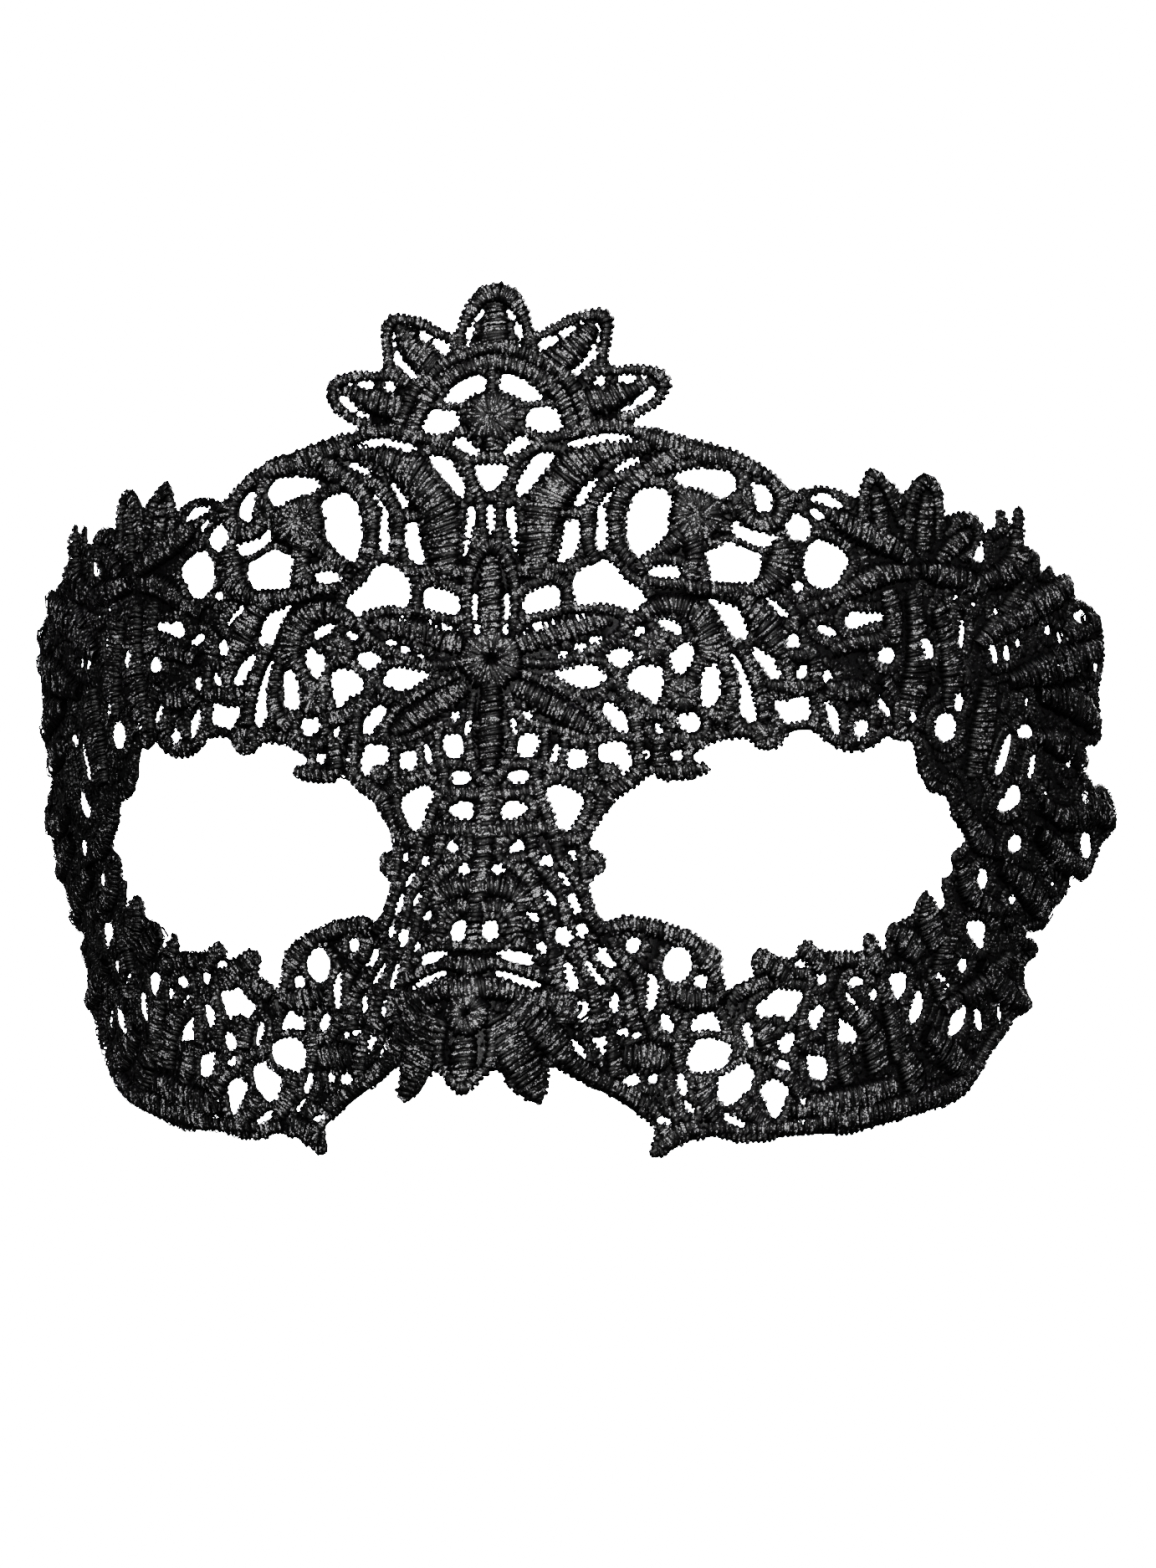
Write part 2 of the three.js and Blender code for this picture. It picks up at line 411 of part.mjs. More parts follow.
// The lace falls into its motifs where the seams are cut: triangles grouped by what they touch
function looseMotifs(mesh) {
  const parent = Array.from({ length: mesh.vertProperties.length / 3 }, (_, vertex) => vertex);
  const root = (vertex) => {
    while (parent[vertex] !== vertex) {
      parent[vertex] = parent[parent[vertex]];
      vertex = parent[vertex];
    }
    return vertex;
  };
  for (let corner = 0; corner < mesh.triVerts.length; corner += 3) {
    const [a, b, c] = mesh.triVerts.subarray(corner, corner + 3);
    parent[root(b)] = root(a);
    parent[root(c)] = root(a);
  }
  const groups = new Map();
  for (let corner = 0; corner < mesh.triVerts.length; corner += 3) {
    const key = root(mesh.triVerts[corner]);
    if (!groups.has(key)) groups.set(key, []);
    const triangle = [];
    for (let step = 0; step < 3; step++) {
      const vertex = 3 * mesh.triVerts[corner + step];
      triangle.push(new THREE.Vector3(...mesh.vertProperties.subarray(vertex, vertex + 3)));
    }
    groups.get(key).push(triangle);
  }
  return [...groups.values()];
}

// Where a point of the flat chart lies on the head form, before its thickness is added
function headSurface(across, up) {
  const share = up / faceSpan;
  const halfWidth = headHalfWidth * (1 + upwardSpread * share - crownTaper * share ** 2);
  const mean = (headHalfWidth + headDepth) / 2;
  const angle = across / mean
    - (headHalfWidth - headDepth) / (4 * mean) * Math.sin(2 * across / mean);
  const x = halfWidth * Math.sin(angle);
  const faceLine = browLean * up + faceBow * share ** 2 - browFall * share ** 3;
  const noseShare = 1 / (1 + Math.exp((up - noseStart) / noseFade));
  const nose = noseHeight * noseShare * Math.exp(-((x / noseHalfWidth) ** 2));
  return new THREE.Vector3(x, headDepth * (1 - Math.cos(angle)) - faceLine - nose, up);
}

// A flat point bent round the head form: its height above the chart becomes distance outward
function bent({ x, y, z }) {
  const reach = 0.5;
  const alongAcross = headSurface(x + reach, y).sub(headSurface(x - reach, y));
  const alongUp = headSurface(x, y + reach).sub(headSurface(x, y - reach));
  const outward = alongAcross.cross(alongUp).normalize();
  return headSurface(x, y).addScaledVector(outward, z);
}

const middleOf = (a, b) => a.clone().add(b).multiplyScalar(0.5);

// Whether an edge is too long, or would leave the head form by more than the tolerance
function leavesForm(a, b) {
  if (a.distanceTo(b) > longestFlatEdge) return true;
  const [start, end] = [bent(a), bent(b)];
  return formChecks.some((share) => {
    const straight = start.clone().lerp(end, share);
    return straight.distanceTo(bent(a.clone().lerp(b, share))) > bendTolerance;
  });
}

// Splits a triangle at the middle of its worst edges until all of them follow the head form
function followForm(triangle) {
  const [a, b, c] = triangle;
  const splits = [[a, b], [b, c], [c, a]].map((edge) => leavesForm(...edge));
  const count = splits.filter(Boolean).length;
  if (count === 0) return [triangle];
  const [ab, bc, ca] = [middleOf(a, b), middleOf(b, c), middleOf(c, a)];
  if (count === 3) return [[a, ab, ca], [ab, b, bc], [ca, bc, c], [ab, bc, ca]].flatMap(followForm);
  if (count === 1) {
    if (splits[0]) return [[a, ab, c], [ab, b, c]].flatMap(followForm);
    if (splits[1]) return [[a, b, bc], [a, bc, c]].flatMap(followForm);
    return [[a, b, ca], [ca, b, c]].flatMap(followForm);
  }
  if (!splits[0]) return [[c, ca, bc], [a, b, bc], [a, bc, ca]].flatMap(followForm);
  if (!splits[1]) return [[a, ab, ca], [ab, b, c], [ab, c, ca]].flatMap(followForm);
  return [[b, bc, ab], [c, a, ab], [c, ab, bc]].flatMap(followForm);
}

// The name of the motif whose middle lies nearest to a group of triangles
function motifName(triangles) {
  const middle = new THREE.Vector3();
  for (const corner of triangles.flat()) middle.add(corner);
  middle.divideScalar(3 * triangles.length * square);
  const places = [
    ...middleMotifs,
    ...pairedMotifs.flatMap(([name, x, y]) => [[`${name}_left`, x, y], [`${name}_right`, -x, y]]),
  ];
  const away = ([, x, y]) => Math.hypot(middle.x - x, middle.y - y);
  return places.reduce((best, place) => (away(place) < away(best) ? place : best))[0];
}

const blackThread = new THREE.MeshStandardMaterial({
  name: "black_thread",
  color: 0x0c0c0e,
  roughness: 0.5,
  metalness: 0,
});

const group = new THREE.Group();
group.name = "lace_eye_mask";
for (const triangles of looseMotifs(flatLace())) {
  const corners = triangles.flatMap(followForm).flat().map(bent);
  const loose = new THREE.BufferGeometry().setFromPoints(corners);
  const geometry = mergeVertices(loose, 1e-4);
  geometry.computeVertexNormals();
  const motif = new THREE.Mesh(geometry, blackThread);
  motif.name = motifName(triangles);
  group.add(motif);
}

export default group;
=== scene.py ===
"""Black guipure lace eye mask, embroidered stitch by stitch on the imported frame.

The lace is charted flat, in millimetres across and up. Satin stitches are laid along the
chart's strokes and along every edge, and the whole is then bent round the head form.
"""

import logging
import math
from dataclasses import dataclass, field
from enum import Enum

import bpy
import numpy as np
from mathutils import Matrix, Vector, geometry
from mathutils.bvhtree import BVHTree


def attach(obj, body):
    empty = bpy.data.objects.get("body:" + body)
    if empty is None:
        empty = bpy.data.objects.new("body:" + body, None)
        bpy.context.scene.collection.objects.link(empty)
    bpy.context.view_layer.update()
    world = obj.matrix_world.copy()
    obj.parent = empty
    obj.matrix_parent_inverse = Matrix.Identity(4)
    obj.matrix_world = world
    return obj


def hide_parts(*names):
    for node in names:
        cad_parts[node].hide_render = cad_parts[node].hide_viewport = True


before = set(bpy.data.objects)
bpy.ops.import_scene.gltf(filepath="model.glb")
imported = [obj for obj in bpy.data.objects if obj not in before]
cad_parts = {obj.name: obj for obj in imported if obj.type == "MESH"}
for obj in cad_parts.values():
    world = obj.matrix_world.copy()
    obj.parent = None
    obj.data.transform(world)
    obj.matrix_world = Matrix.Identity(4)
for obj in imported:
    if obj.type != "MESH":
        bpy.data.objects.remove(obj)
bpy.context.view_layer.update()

LOG = logging.getLogger("lace_eye_mask")
MM = 0.001
SEED = 7
TINY = 1e-9  # keeps a division from meeting nought
THREAD_STEP = 7.3  # from the noise of one thread to that of the next

# Sides of a grid square, as row and column shift and row and column direction, and the sides that
# a contour joins for each sum of inner corners (1, 2, 4, 8 anticlockwise)
SQUARE_SIDES = {"s": (0, 0, 0, 1), "e": (0, 1, 1, 0), "n": (1, 0, 0, 1), "w": (0, 0, 1, 0)}
SQUARE_LINKS = {
    1: ["sw"], 2: ["es"], 3: ["ew"], 4: ["ne"], 5: ["nw", "se"], 6: ["ns"], 7: ["nw"], 8: ["wn"],
    9: ["sn"], 10: ["ws", "en"], 11: ["en"], 12: ["we"], 13: ["se"], 14: ["ws"],
}

# Chart tables. Arc rows: across, up, bulge of the arc that leads to the next row
OUTER_EDGE = [
    # crown petals
    [0, 60.9, 0.06], [2.6, 60, 0.1], [4.9, 56.8, 0.02], [5.8, 53.6, -0.3], [7.3, 53.6, 0.03], [11, 55.8, 0.03],
    [15.4, 56.7, 0.35], [17.6, 54.8, 0.04], [16.8, 49.5, -0.2], [17.8, 48.1, 0], [21, 48.5, 0.08],
    [24.3, 48, 0.28], [25.9, 45.6, 0.12], [24, 42.4, 0.03], [20.3, 40.4, -0.4], [20.7, 39.6, 0],
    # brow cord and temple loop
    [23, 39.5, -0.04], [35, 36.2, 0.12], [43.2, 30.3, 0.3], [52.7, 29.3, 0.1],
    # temple petals
    [54.6, 34.4, 0.15], [59.8, 30.2, 0.1], [63, 33.7, 0.35], [66.4, 31.4, 0], [66.7, 27.4, 0.15],
    [71, 28.2, 0.3], [73.6, 25.3, 0.2], [75.6, 26.1, 0], [75.7, 28.2, 0.8], [77.3, 28.5, 0], [78.6, 26, 0],
    [79.2, 28.6, 0.7], [80.9, 29.2, 0.05], [81, 22.9, 0.2], [83.9, 23, 0.3],
    # side edge
    [84, 20.2, 0], [85, 20, 1], [87.3, 19.5, 0.1], [88.7, 19.7, 0.55], [91.9, 18.2, 0], [92, 16.3, 0.1],
    [95.6, 15.6, 0.18], [99, 12.6, 0.15], [99.9, 8, 0.1], [98.4, 2.9, 0.05], [100.2, -3, 0.4], [98.4, -5, 0],
    [95.8, -5.1, 0], [96.3, -7.4, 0], [95, -8.2, 0], [97.6, -9.8, 0.05], [99, -10.9, 0.08], [102, -10.8, 0.25],
    [108, -16.8, 0.15], [103.2, -19.7, 0.1], [102, -23, 0.2], [99.6, -25.1, 0.15], [97.6, -24.9, -0.3],
    [95.6, -24.6, 0.1], [95.5, -26.6, 0.1], [91.6, -29.6, 0.1], [91.8, -31, 0.3], [90.2, -32.4, 0],
    [86.8, -32.5, -0.6], [86.9, -33.4, 0.1], [89.8, -34.2, 0.4], [90, -36.2, 0], [87.9, -37.4, -0.1],
    [88.4, -40, 0.05], [92.4, -43.6, 0.15], [88.1, -45.1, 0.2],
    # lower edge and hook
    [84.2, -49.9, 0.15], [81.4, -55.8, 0.1], [77, -57.7, 0.05], [60, -61.2, 0], [50, -61.1, 0.1], [41, -62, 0],
    [37.5, -61.1, 0.05], [33, -61.8, 0.05], [29, -63.9, 0.5], [27.1, -62.8, -0.1], [27.6, -59.8, 0],
    [22, -56.3, 0.05], [11.3, -50.6, 0.05], [11.3, -54, 0.3], [10.3, -56, 0.2], [5, -51.2, -0.2],
    [3.4, -51.5, 0.1], [0, -54.8, 0.1],
]

EYE_EDGE = [
    [14.1, -19.6, 0.1], [17.4, -14.4, 0.1], [17.7, -13.5, -0.1], [23, -9.5, 0.4], [24.2, -10.8, -0.15],
    [31.2, -9.4, -0.6], [30.5, -8.2, 0.3], [28.8, -7.3, 0.15], [32.6, -5, 0.05], [36.6, -4.6, -0.5],
    [41.6, -5.4, 0.3], [43.5, -3.7, 0.1], [46.6, -3.8, -0.45], [56.8, -4.8, 0.7], [58.2, -4.4, -0.5],
    [60.9, -4.6, 0.2], [61.8, -6.3, 0.1], [62.6, -9.2, -0.1], [65, -12.2, -0.1], [67.7, -12.7, 0.1],
    [69, -16.2, 0.1], [71.9, -18.9, 0.3], [70, -20.5, -0.5], [70.2, -23, 0.6], [67.9, -24.1, 0],
    [69.5, -28.4, 0.6], [68.3, -28.8, 0], [66, -26.3, -0.4], [64.3, -29.8, 0], [61, -31, -0.4], [60, -33, 0],
    [60.4, -34.8, 0.6], [59.2, -34.2, 0], [57.4, -32.3, -0.6], [56.3, -33, 0], [56.5, -35.2, 0], [50, -34.9, 0],
    [47.6, -33.3, -0.5], [46, -35.8, 0.2], [43.2, -35.6, 0], [41.3, -34.6, -0.4], [38.8, -35.8, 0],
    [39.8, -38.2, 0.2], [37.2, -39.4, 0.1], [36, -41, 0.1], [34.3, -34.8, -0.1], [25, -30.5, 0],
    [20, -29.7, -0.15], [17.4, -30.9, 0.2], [14.6, -25, 0.2], [16.2, -23.8, -0.4], [16, -20.8, 0.2],
]

# Gaps of one half that have corners: across and up of each corner
CORNER_GAPS = [
    # crown
    [[1, 47.4], [3.6, 47], [6.2, 45.4], [7.6, 43.6], [4.9, 43.2], [2.8, 44.5], [1, 45]],
    [[4.7, 41.2], [5.6, 42.2], [9.1, 42.6], [10.7, 39.9], [9.4, 38.9], [6.6, 38.9], [4.9, 39.8]],
    [[1.4, 36.1], [3.2, 37.9], [5.2, 38.6], [6, 37.6], [4.3, 36.2], [2.6, 35.5]],
    # brow leaf and its bars
    [[2.2, 28.3], [3.5, 28.4], [3.6, 25.4], [4.2, 21.4], [3.6, 21.6], [2.6, 25.2]],
    [[3.6, 30], [3.8, 31.8], [6, 35.2], [7.7, 36.1], [9.9, 35.8], [7.7, 33.2], [5.7, 30.9], [4.6, 29.5]],
    [[10.4, 37], [12.6, 36.5], [14.6, 37.4], [21.8, 37.4], [20.2, 38.2], [17, 38.6], [13.6, 38]],
    [[11.8, 28.4], [13.2, 28.4], [14.2, 30.4], [15.6, 32.2], [14.6, 32.2], [12.8, 30.4]],
    [[10.5, 26.2], [12.6, 26.5], [12.7, 23.5], [12, 21.2], [10.6, 20.4], [9.2, 20.6], [10.3, 23]],
    [[15.4, 28.8], [16.1, 28.8], [16.5, 26], [16.6, 22.4], [15.4, 21.8], [14.9, 22.6], [15.3, 25.5]],
    [[4.6, 13.1], [4.5, 15.4], [6, 16.5], [9.1, 17.2], [9.9, 16.3], [9.8, 14], [7.8, 13.5]],
    [[11.6, 15.2], [11.8, 18.8], [15, 20.9], [17.8, 20.2], [18.3, 18.4], [22.7, 15.3], [20.2, 12.9],
     [18.6, 14.1], [15, 14.6], [12.4, 13.9]],
    # brow scroll
    [[20.2, 29.8], [22, 31], [24.2, 31], [26.2, 29.4], [25.3, 27.4], [25.2, 24.6], [23.2, 22.2], [20.6, 20.5],
     [19.5, 22.4], [19.1, 26]],
    [[25.3, 32.3], [28, 33.6], [32, 33.7], [34.6, 33], [35.4, 31.4], [33.2, 28.7], [32.2, 29.8], [29.6, 30.7],
     [27.6, 30.9]],
    [[36.9, 31.7], [38.8, 31.5], [40, 30], [40, 28], [38.8, 27.2], [37.7, 27.8], [37.5, 29.7]],
    [[34.5, 26.5], [35.1, 25.9], [35.7, 25.1], [37.6, 24.6], [41.1, 24], [40.5, 23.4], [39, 22.3],
     [37.2, 22.8], [34.9, 23.8], [34.1, 24.7], [34, 25.9]],
    [[33.4, 23.4], [34.5, 23], [36.1, 22.2], [37, 21.7], [38.4, 21.5], [38.6, 19.7], [38, 17.9], [36.8, 17.2],
     [35.5, 17.3], [33.4, 17.6], [30.8, 17.4], [30.9, 19.7], [30.2, 21.1], [30.3, 22.2], [31.9, 22.3]],
    [[43.2, 27.6], [44.5, 27], [45.9, 25.4], [45.4, 24.3], [44.9, 23.5], [43.6, 23.3], [42.4, 24],
     [41.7, 25.3], [42.6, 26.8]],
    [[47, 23.8], [48.4, 23.4], [50.3, 22.2], [51.5, 20.9], [50.7, 19.3], [49.9, 18.6], [49.5, 17.2],
     [48, 16.4], [46.7, 16.5], [45.3, 17.4], [44.3, 19], [44.3, 21.1], [44.9, 22.2], [45.7, 23.2]],
    [[21.7, 18.7], [22.8, 19.6], [25, 19.9], [27.4, 19.4], [27.2, 18.4], [25.8, 17.9], [23, 18.1]],
    # between the centre flower and the eye opening
    [[28, 9.2], [28.8, 7.2], [28.1, 5.5], [26.5, 4.2], [25.7, 5.1], [25.2, 6.5], [25.5, 7.8], [27, 8.4]],
    [[16.2, 7], [17.6, 8.2], [19.3, 8.2], [20.4, 7], [18.8, 5.3], [17.2, 5.9]],
    [[22.6, 5.8], [24.3, 5.3], [24.5, 3.6], [24, 1.5], [23.8, 0.1], [22.6, 0.5], [21.8, 1.5], [20.3, 2],
     [18.8, 2.6], [19.5, 4.2], [20.3, 5.3]],
    [[8.3, 4.7], [11.5, 5.3], [14.2, 6.1], [16.8, 4], [15, 2.8], [12.8, 2.4], [10.6, 3.4]],
    [[31.7, 6.4], [32.5, 4.2], [32.4, 1.8], [32.3, 0.5], [31.5, 0], [30.2, -0.4], [29.7, 0.5], [29.8, 2.6],
     [29.9, 4.9], [30.9, 5.9]],
    [[34, 7.5], [35.1, 6.1], [35.9, 4.5], [36.8, 2.6], [37.6, -0.5], [37.7, -2.4], [36.8, -3], [36.1, -2],
     [35.5, -1.2], [35.2, 0.3], [35.5, 2.6], [34.9, 4.9], [33.7, 7]],
    [[30.7, 15.2], [32, 14.7], [34.9, 14], [35.5, 12.8], [36.7, 10.1], [35.9, 9.3], [34.3, 9.2], [33.7, 10.2],
     [33.2, 11.5], [32.3, 12.6], [32, 13.6], [30.7, 14.5]],
    [[37.4, 8.5], [38.4, 7.6], [40.3, 6.5], [40.3, 5.3], [41.2, 4.7], [41.1, 3.8], [39.5, 3.8], [38.8, 4.9],
     [38, 6.1], [36.8, 7.8]],
    [[40.1, 1.1], [41.1, 0.6], [42.6, 0.7], [44.2, 1.3], [45.4, 1.4], [45.5, -0.1], [45.8, -1.6], [44.5, -2.2],
     [42.6, -2.5], [41.7, -2.6], [40.7, -1], [39.9, -0.1]],
    [[51, 13.6], [51.8, 13.7], [52.8, 13.2], [56.5, 13.5], [56.6, 12.8], [55.9, 12.2], [53.8, 11.8],
     [51.3, 10.6], [50.2, 11.7], [50.3, 12.4], [50.9, 12.6]],
    [[48, 1.1], [48.8, -0.3], [49.9, -0.8], [50, -2.8], [49.8, -4.6], [49, -3.7], [48.4, -2.6], [47.8, -1],
     [47.5, 0.3]],
    # temple and side
    [[45.3, 30], [48.4, 30.2], [50.6, 28.4], [50.2, 27.7], [48.4, 28.6], [46, 29]],
    [[78.6, -3], [79, -4.6], [78, -8.6], [76.8, -10.1], [76, -9.4], [76.8, -6.4]],
    [[76.6, -14.2], [78.4, -13], [79.2, -11.2], [80.4, -10.7], [81.8, -12], [81.6, -14], [78.4, -15.4]],
    [[96.4, -18.5], [98, -17.6], [100, -18.2], [101, -21], [99.6, -22.2], [97.6, -21]],
    # nose bridge
    [[4.3, -4], [7.3, -4.2], [6.4, -7.2], [3.9, -7.3]],
    [[15.2, -5.8], [17.2, -5], [19.2, -5.4], [20, -7.6], [19.8, -9.4], [18.7, -10], [18.2, -8.3], [15.5, -8]],
    [[1.9, -14.3], [3.6, -13.6], [5.8, -14.3], [5.9, -15], [4.6, -16.1], [2.2, -16.5]],
    [[8.8, -10.9], [11.4, -11.7], [14, -13.3], [11.8, -17.6], [10.8, -18.1], [9.8, -17.4], [9.2, -14.9],
     [8, -12.8]],
    [[3, -35.1], [5, -34.5], [8.2, -35.2], [8.2, -36.8], [5.4, -36.2]],
    # cheek
    [[23.7, -37.9], [24.6, -38], [25.7, -40], [25, -43.4], [23.8, -43.2], [24, -40]],
    [[33.9, -43.4], [35.3, -44.8], [35.8, -46.2], [34.7, -46.2], [33.2, -45.8], [32.2, -46.5], [31.2, -46.2],
     [30.8, -44.8], [32.2, -44]],
    [[33.5, -47.2], [35.5, -47.3], [37.4, -47.9], [38, -49.2], [37.4, -50.8], [35.8, -51.9], [32.4, -52.4],
     [31, -51.2], [30.9, -49.8], [31.4, -47.9]],
    [[39.7, -50.4], [42, -51.7], [42, -53.1], [41.4, -55], [40.3, -55.2], [39.9, -56.5], [38.3, -56.9],
     [36.8, -56], [36, -53.3], [36.8, -52.3], [38.5, -51.7]],
    [[44.7, -53], [46.6, -53.5], [48.7, -54.6], [47.7, -55.6], [47.6, -57.5], [47.2, -58.8], [45.8, -58.3],
     [44.7, -56.5], [43.3, -55.2], [43.2, -54]],
    [[43, -40.1], [45.1, -40.5], [48, -40.6], [47.8, -41.5], [47.2, -42.7], [46.9, -44.2], [45.8, -45.1],
     [45.3, -44.2], [42.8, -43.9], [42.6, -44.6], [41.2, -44.4], [40.2, -42.9], [40.8, -42.3], [42.4, -41.7]],
    [[49.8, -49.4], [51.2, -49.8], [52.8, -49.9], [53.7, -50.8], [54.1, -53.3], [52.4, -53.5], [51, -53],
     [50.4, -51.5]],
    [[53.9, -43.5], [54.7, -44.8], [56.6, -45.6], [57.6, -46.9], [58.2, -48.6], [56.6, -47.9], [55.1, -48.4],
     [54.5, -47.3], [54.6, -45.6]],
    [[62, -38.1], [63.7, -38], [64.7, -38.7], [64.8, -40.4], [64, -42.3], [63.2, -41.5], [62.2, -40.4],
     [61.2, -38.7]],
    [[67.3, -40.2], [68.8, -43.4], [67.2, -46], [66.2, -45.2], [66.4, -41.8]],
    [[74, -30.9], [77.8, -30.7], [78.2, -35.6], [75.6, -33.6], [74, -32.4]],
    [[74.2, -44.7], [76, -43], [77, -43.2], [77.3, -46.2], [75, -47.8], [74.2, -47.2]],
]

# Oval gaps of that half: across, up, width, height, turn in degrees
OVAL_GAPS = [
    [53.2, -3.3, 2.4, 3.2, -15], [66.8, -2.9, 3.8, 4.3, 15], [93.2, 13.7, 3.6, 2.1, -5],
    [81.5, -19.6, 3.1, 2.9, 0], [12.3, -7.6, 3, 2.9, 0], [2.2, -32, 2.4, 3, 0], [28, -36.8, 4.6, 5.3, 0],
]

# Whole gaps on the middle line, with corners
MIDDLE_GAPS = [
    [[-2.9, 34.4], [2.9, 34.4], [1.6, 31.6], [0, 30.2], [-1.6, 31.6]],
    [[-0.6, 28.6], [0.6, 28.6], [0.5, 25], [0, 24.5], [-0.5, 25]],
]

# Slits and small gaps of the +X half that are too fine for the solids
# Columns: across, up, width, height, turn in degrees
SMALL_OVALS = [
    [2.4, 56, 0.8, 1.9, 38], [3.9, 51.8, 0.7, 1, 0], [12.9, 54.5, 0.5, 0.9, 20], [15.4, 52.1, 0.7, 0.7, 0],
    [15.7, 46.1, 1.7, 1.9, 0], [22, 46.8, 0.6, 0.8, 0], [20.1, 42.1, 1.2, 1.1, 0], [19.1, 41.8, 0.8, 0.8, 0],
    [12.4, 44.6, 0.4, 0.9, 30], [17.2, 30.2, 0.6, 0.6, 0], [20.9, 10.5, 1.8, 1, 20], [21, 7, 0.7, 0.7, 0],
    [23.7, -3.4, 0.9, 1.9, 25], [26.4, -7, 1.6, 1.6, 0], [22, -7, 1, 1, 0], [44.2, 4.8, 1.2, 2, -30],
    [40.7, 13.8, 0.9, 4.4, 48], [43.5, 16.8, 1.7, 1.5, 0], [48, 4.3, 1.3, 2.1, 0], [56.5, 0.1, 1.1, 3.8, 35],
    [61.4, -1.5, 1, 1.8, 10], [69, 0.8, 1.8, 2.6, 15], [46.6, 27.2, 1, 2.4, 55], [2.3, 15.3, 0.8, 1.2, 0],
    [2.4, 14, 0.8, 1.1, 0], [2.4, 12.8, 0.8, 1, 0], [2, 11, 0.9, 1.6, 0], [5, 10.6, 0.8, 0.8, 0],
    [7, 11.3, 2.5, 1, 8], [9, 12, 0.8, 0.7, 0], [12.3, 12.4, 0.9, 0.8, 0], [13.3, 12.8, 0.8, 0.7, 0],
    [10.2, 7.2, 1.4, 0.8, 10], [12.7, 8.2, 1.5, 1.4, 10], [14.9, 9.3, 1.6, 1.2, 10], [3.3, -3, 0.7, 2.4, 12],
    [68.2, 15.9, 1.2, 0.9, 0], [66.7, 13.6, 0.8, 0.8, 0], [69.2, 10.6, 0.8, 4.8, -3], [71.2, 14.9, 1, 1, 0],
    [75.4, 14, 1.2, 1.9, 0], [74.9, 7.9, 1.2, 3.3, 20], [77.4, 8, 1.1, 2.6, 15], [79.6, 9.6, 0.8, 1.6, 15],
    [85.6, 11.5, 1.3, 1.8, 0], [88.6, 10.6, 1.4, 2.4, 10], [97.4, 6.6, 1.7, 1.5, 0], [88.4, 6.4, 0.8, 1, 0],
    [95.2, 2.7, 0.8, 0.8, 0], [81.6, 1, 0.7, 1.8, 0], [91.8, -7.9, 1.4, 1.2, 0], [86.9, -12.2, 1, 1, 0],
    [89.4, -22.6, 1, 1, 0], [91.2, -25.5, 1.3, 0.9, 0], [71.3, -39.5, 1.1, 3.9, 52], [84.3, -44.5, 0.9, 4, 25],
    [56, -39.4, 2.7, 1.6, 0], [59.3, -41.3, 1.5, 1.9, 0], [50.4, -38.9, 1.7, 2.2, 0],
    [40.1, -59, 4.6, 1.1, -25], [16.3, -38, 1, 4.4, 40], [19.3, -42.3, 1.2, 3.1, 5], [15, -48.5, 0.9, 3.8, 38],
    [20.9, -46.2, 2, 1, -15], [23, -46.8, 1.2, 0.8, 0], [23, -53, 2.6, 1.8, 0], [26.2, -53, 1.4, 1.6, 20],
    [32.4, -57, 2.8, 0.8, -38], [28.8, -58.7, 2.8, 1, -15], [5.2, -1.4, 1.4, 1.3, 0], [9.3, -6.8, 0.9, 3, -20],
    [2.4, -23.4, 1.9, 1.6, 30], [12.2, -21.4, 1, 1.5, 20], [11.3, -24.7, 0.7, 2.6, 40],
    [9.5, -27.3, 0.9, 2.8, 42], [7.6, -30, 1.9, 1.2, -35], [14.1, -32, 1.6, 1.9, 0],
    [11.9, -32.8, 2.2, 2.8, 30], [9.1, -34.3, 1, 2, 30], [42.9, 9.3, 2, 2.2, 0], [81.7, -3.3, 3.2, 2.1, -8],
    [83.5, -8.4, 1.3, 4.4, -8], [97, -13.1, 2.4, 2.7, 10], [75.8, -24.6, 2, 3.4, 15],
    [79.9, -45.2, 1.5, 4.2, 32], [21.3, -34, 2.3, 2.4, 0], [15, -43.2, 1.9, 3, 0],
]

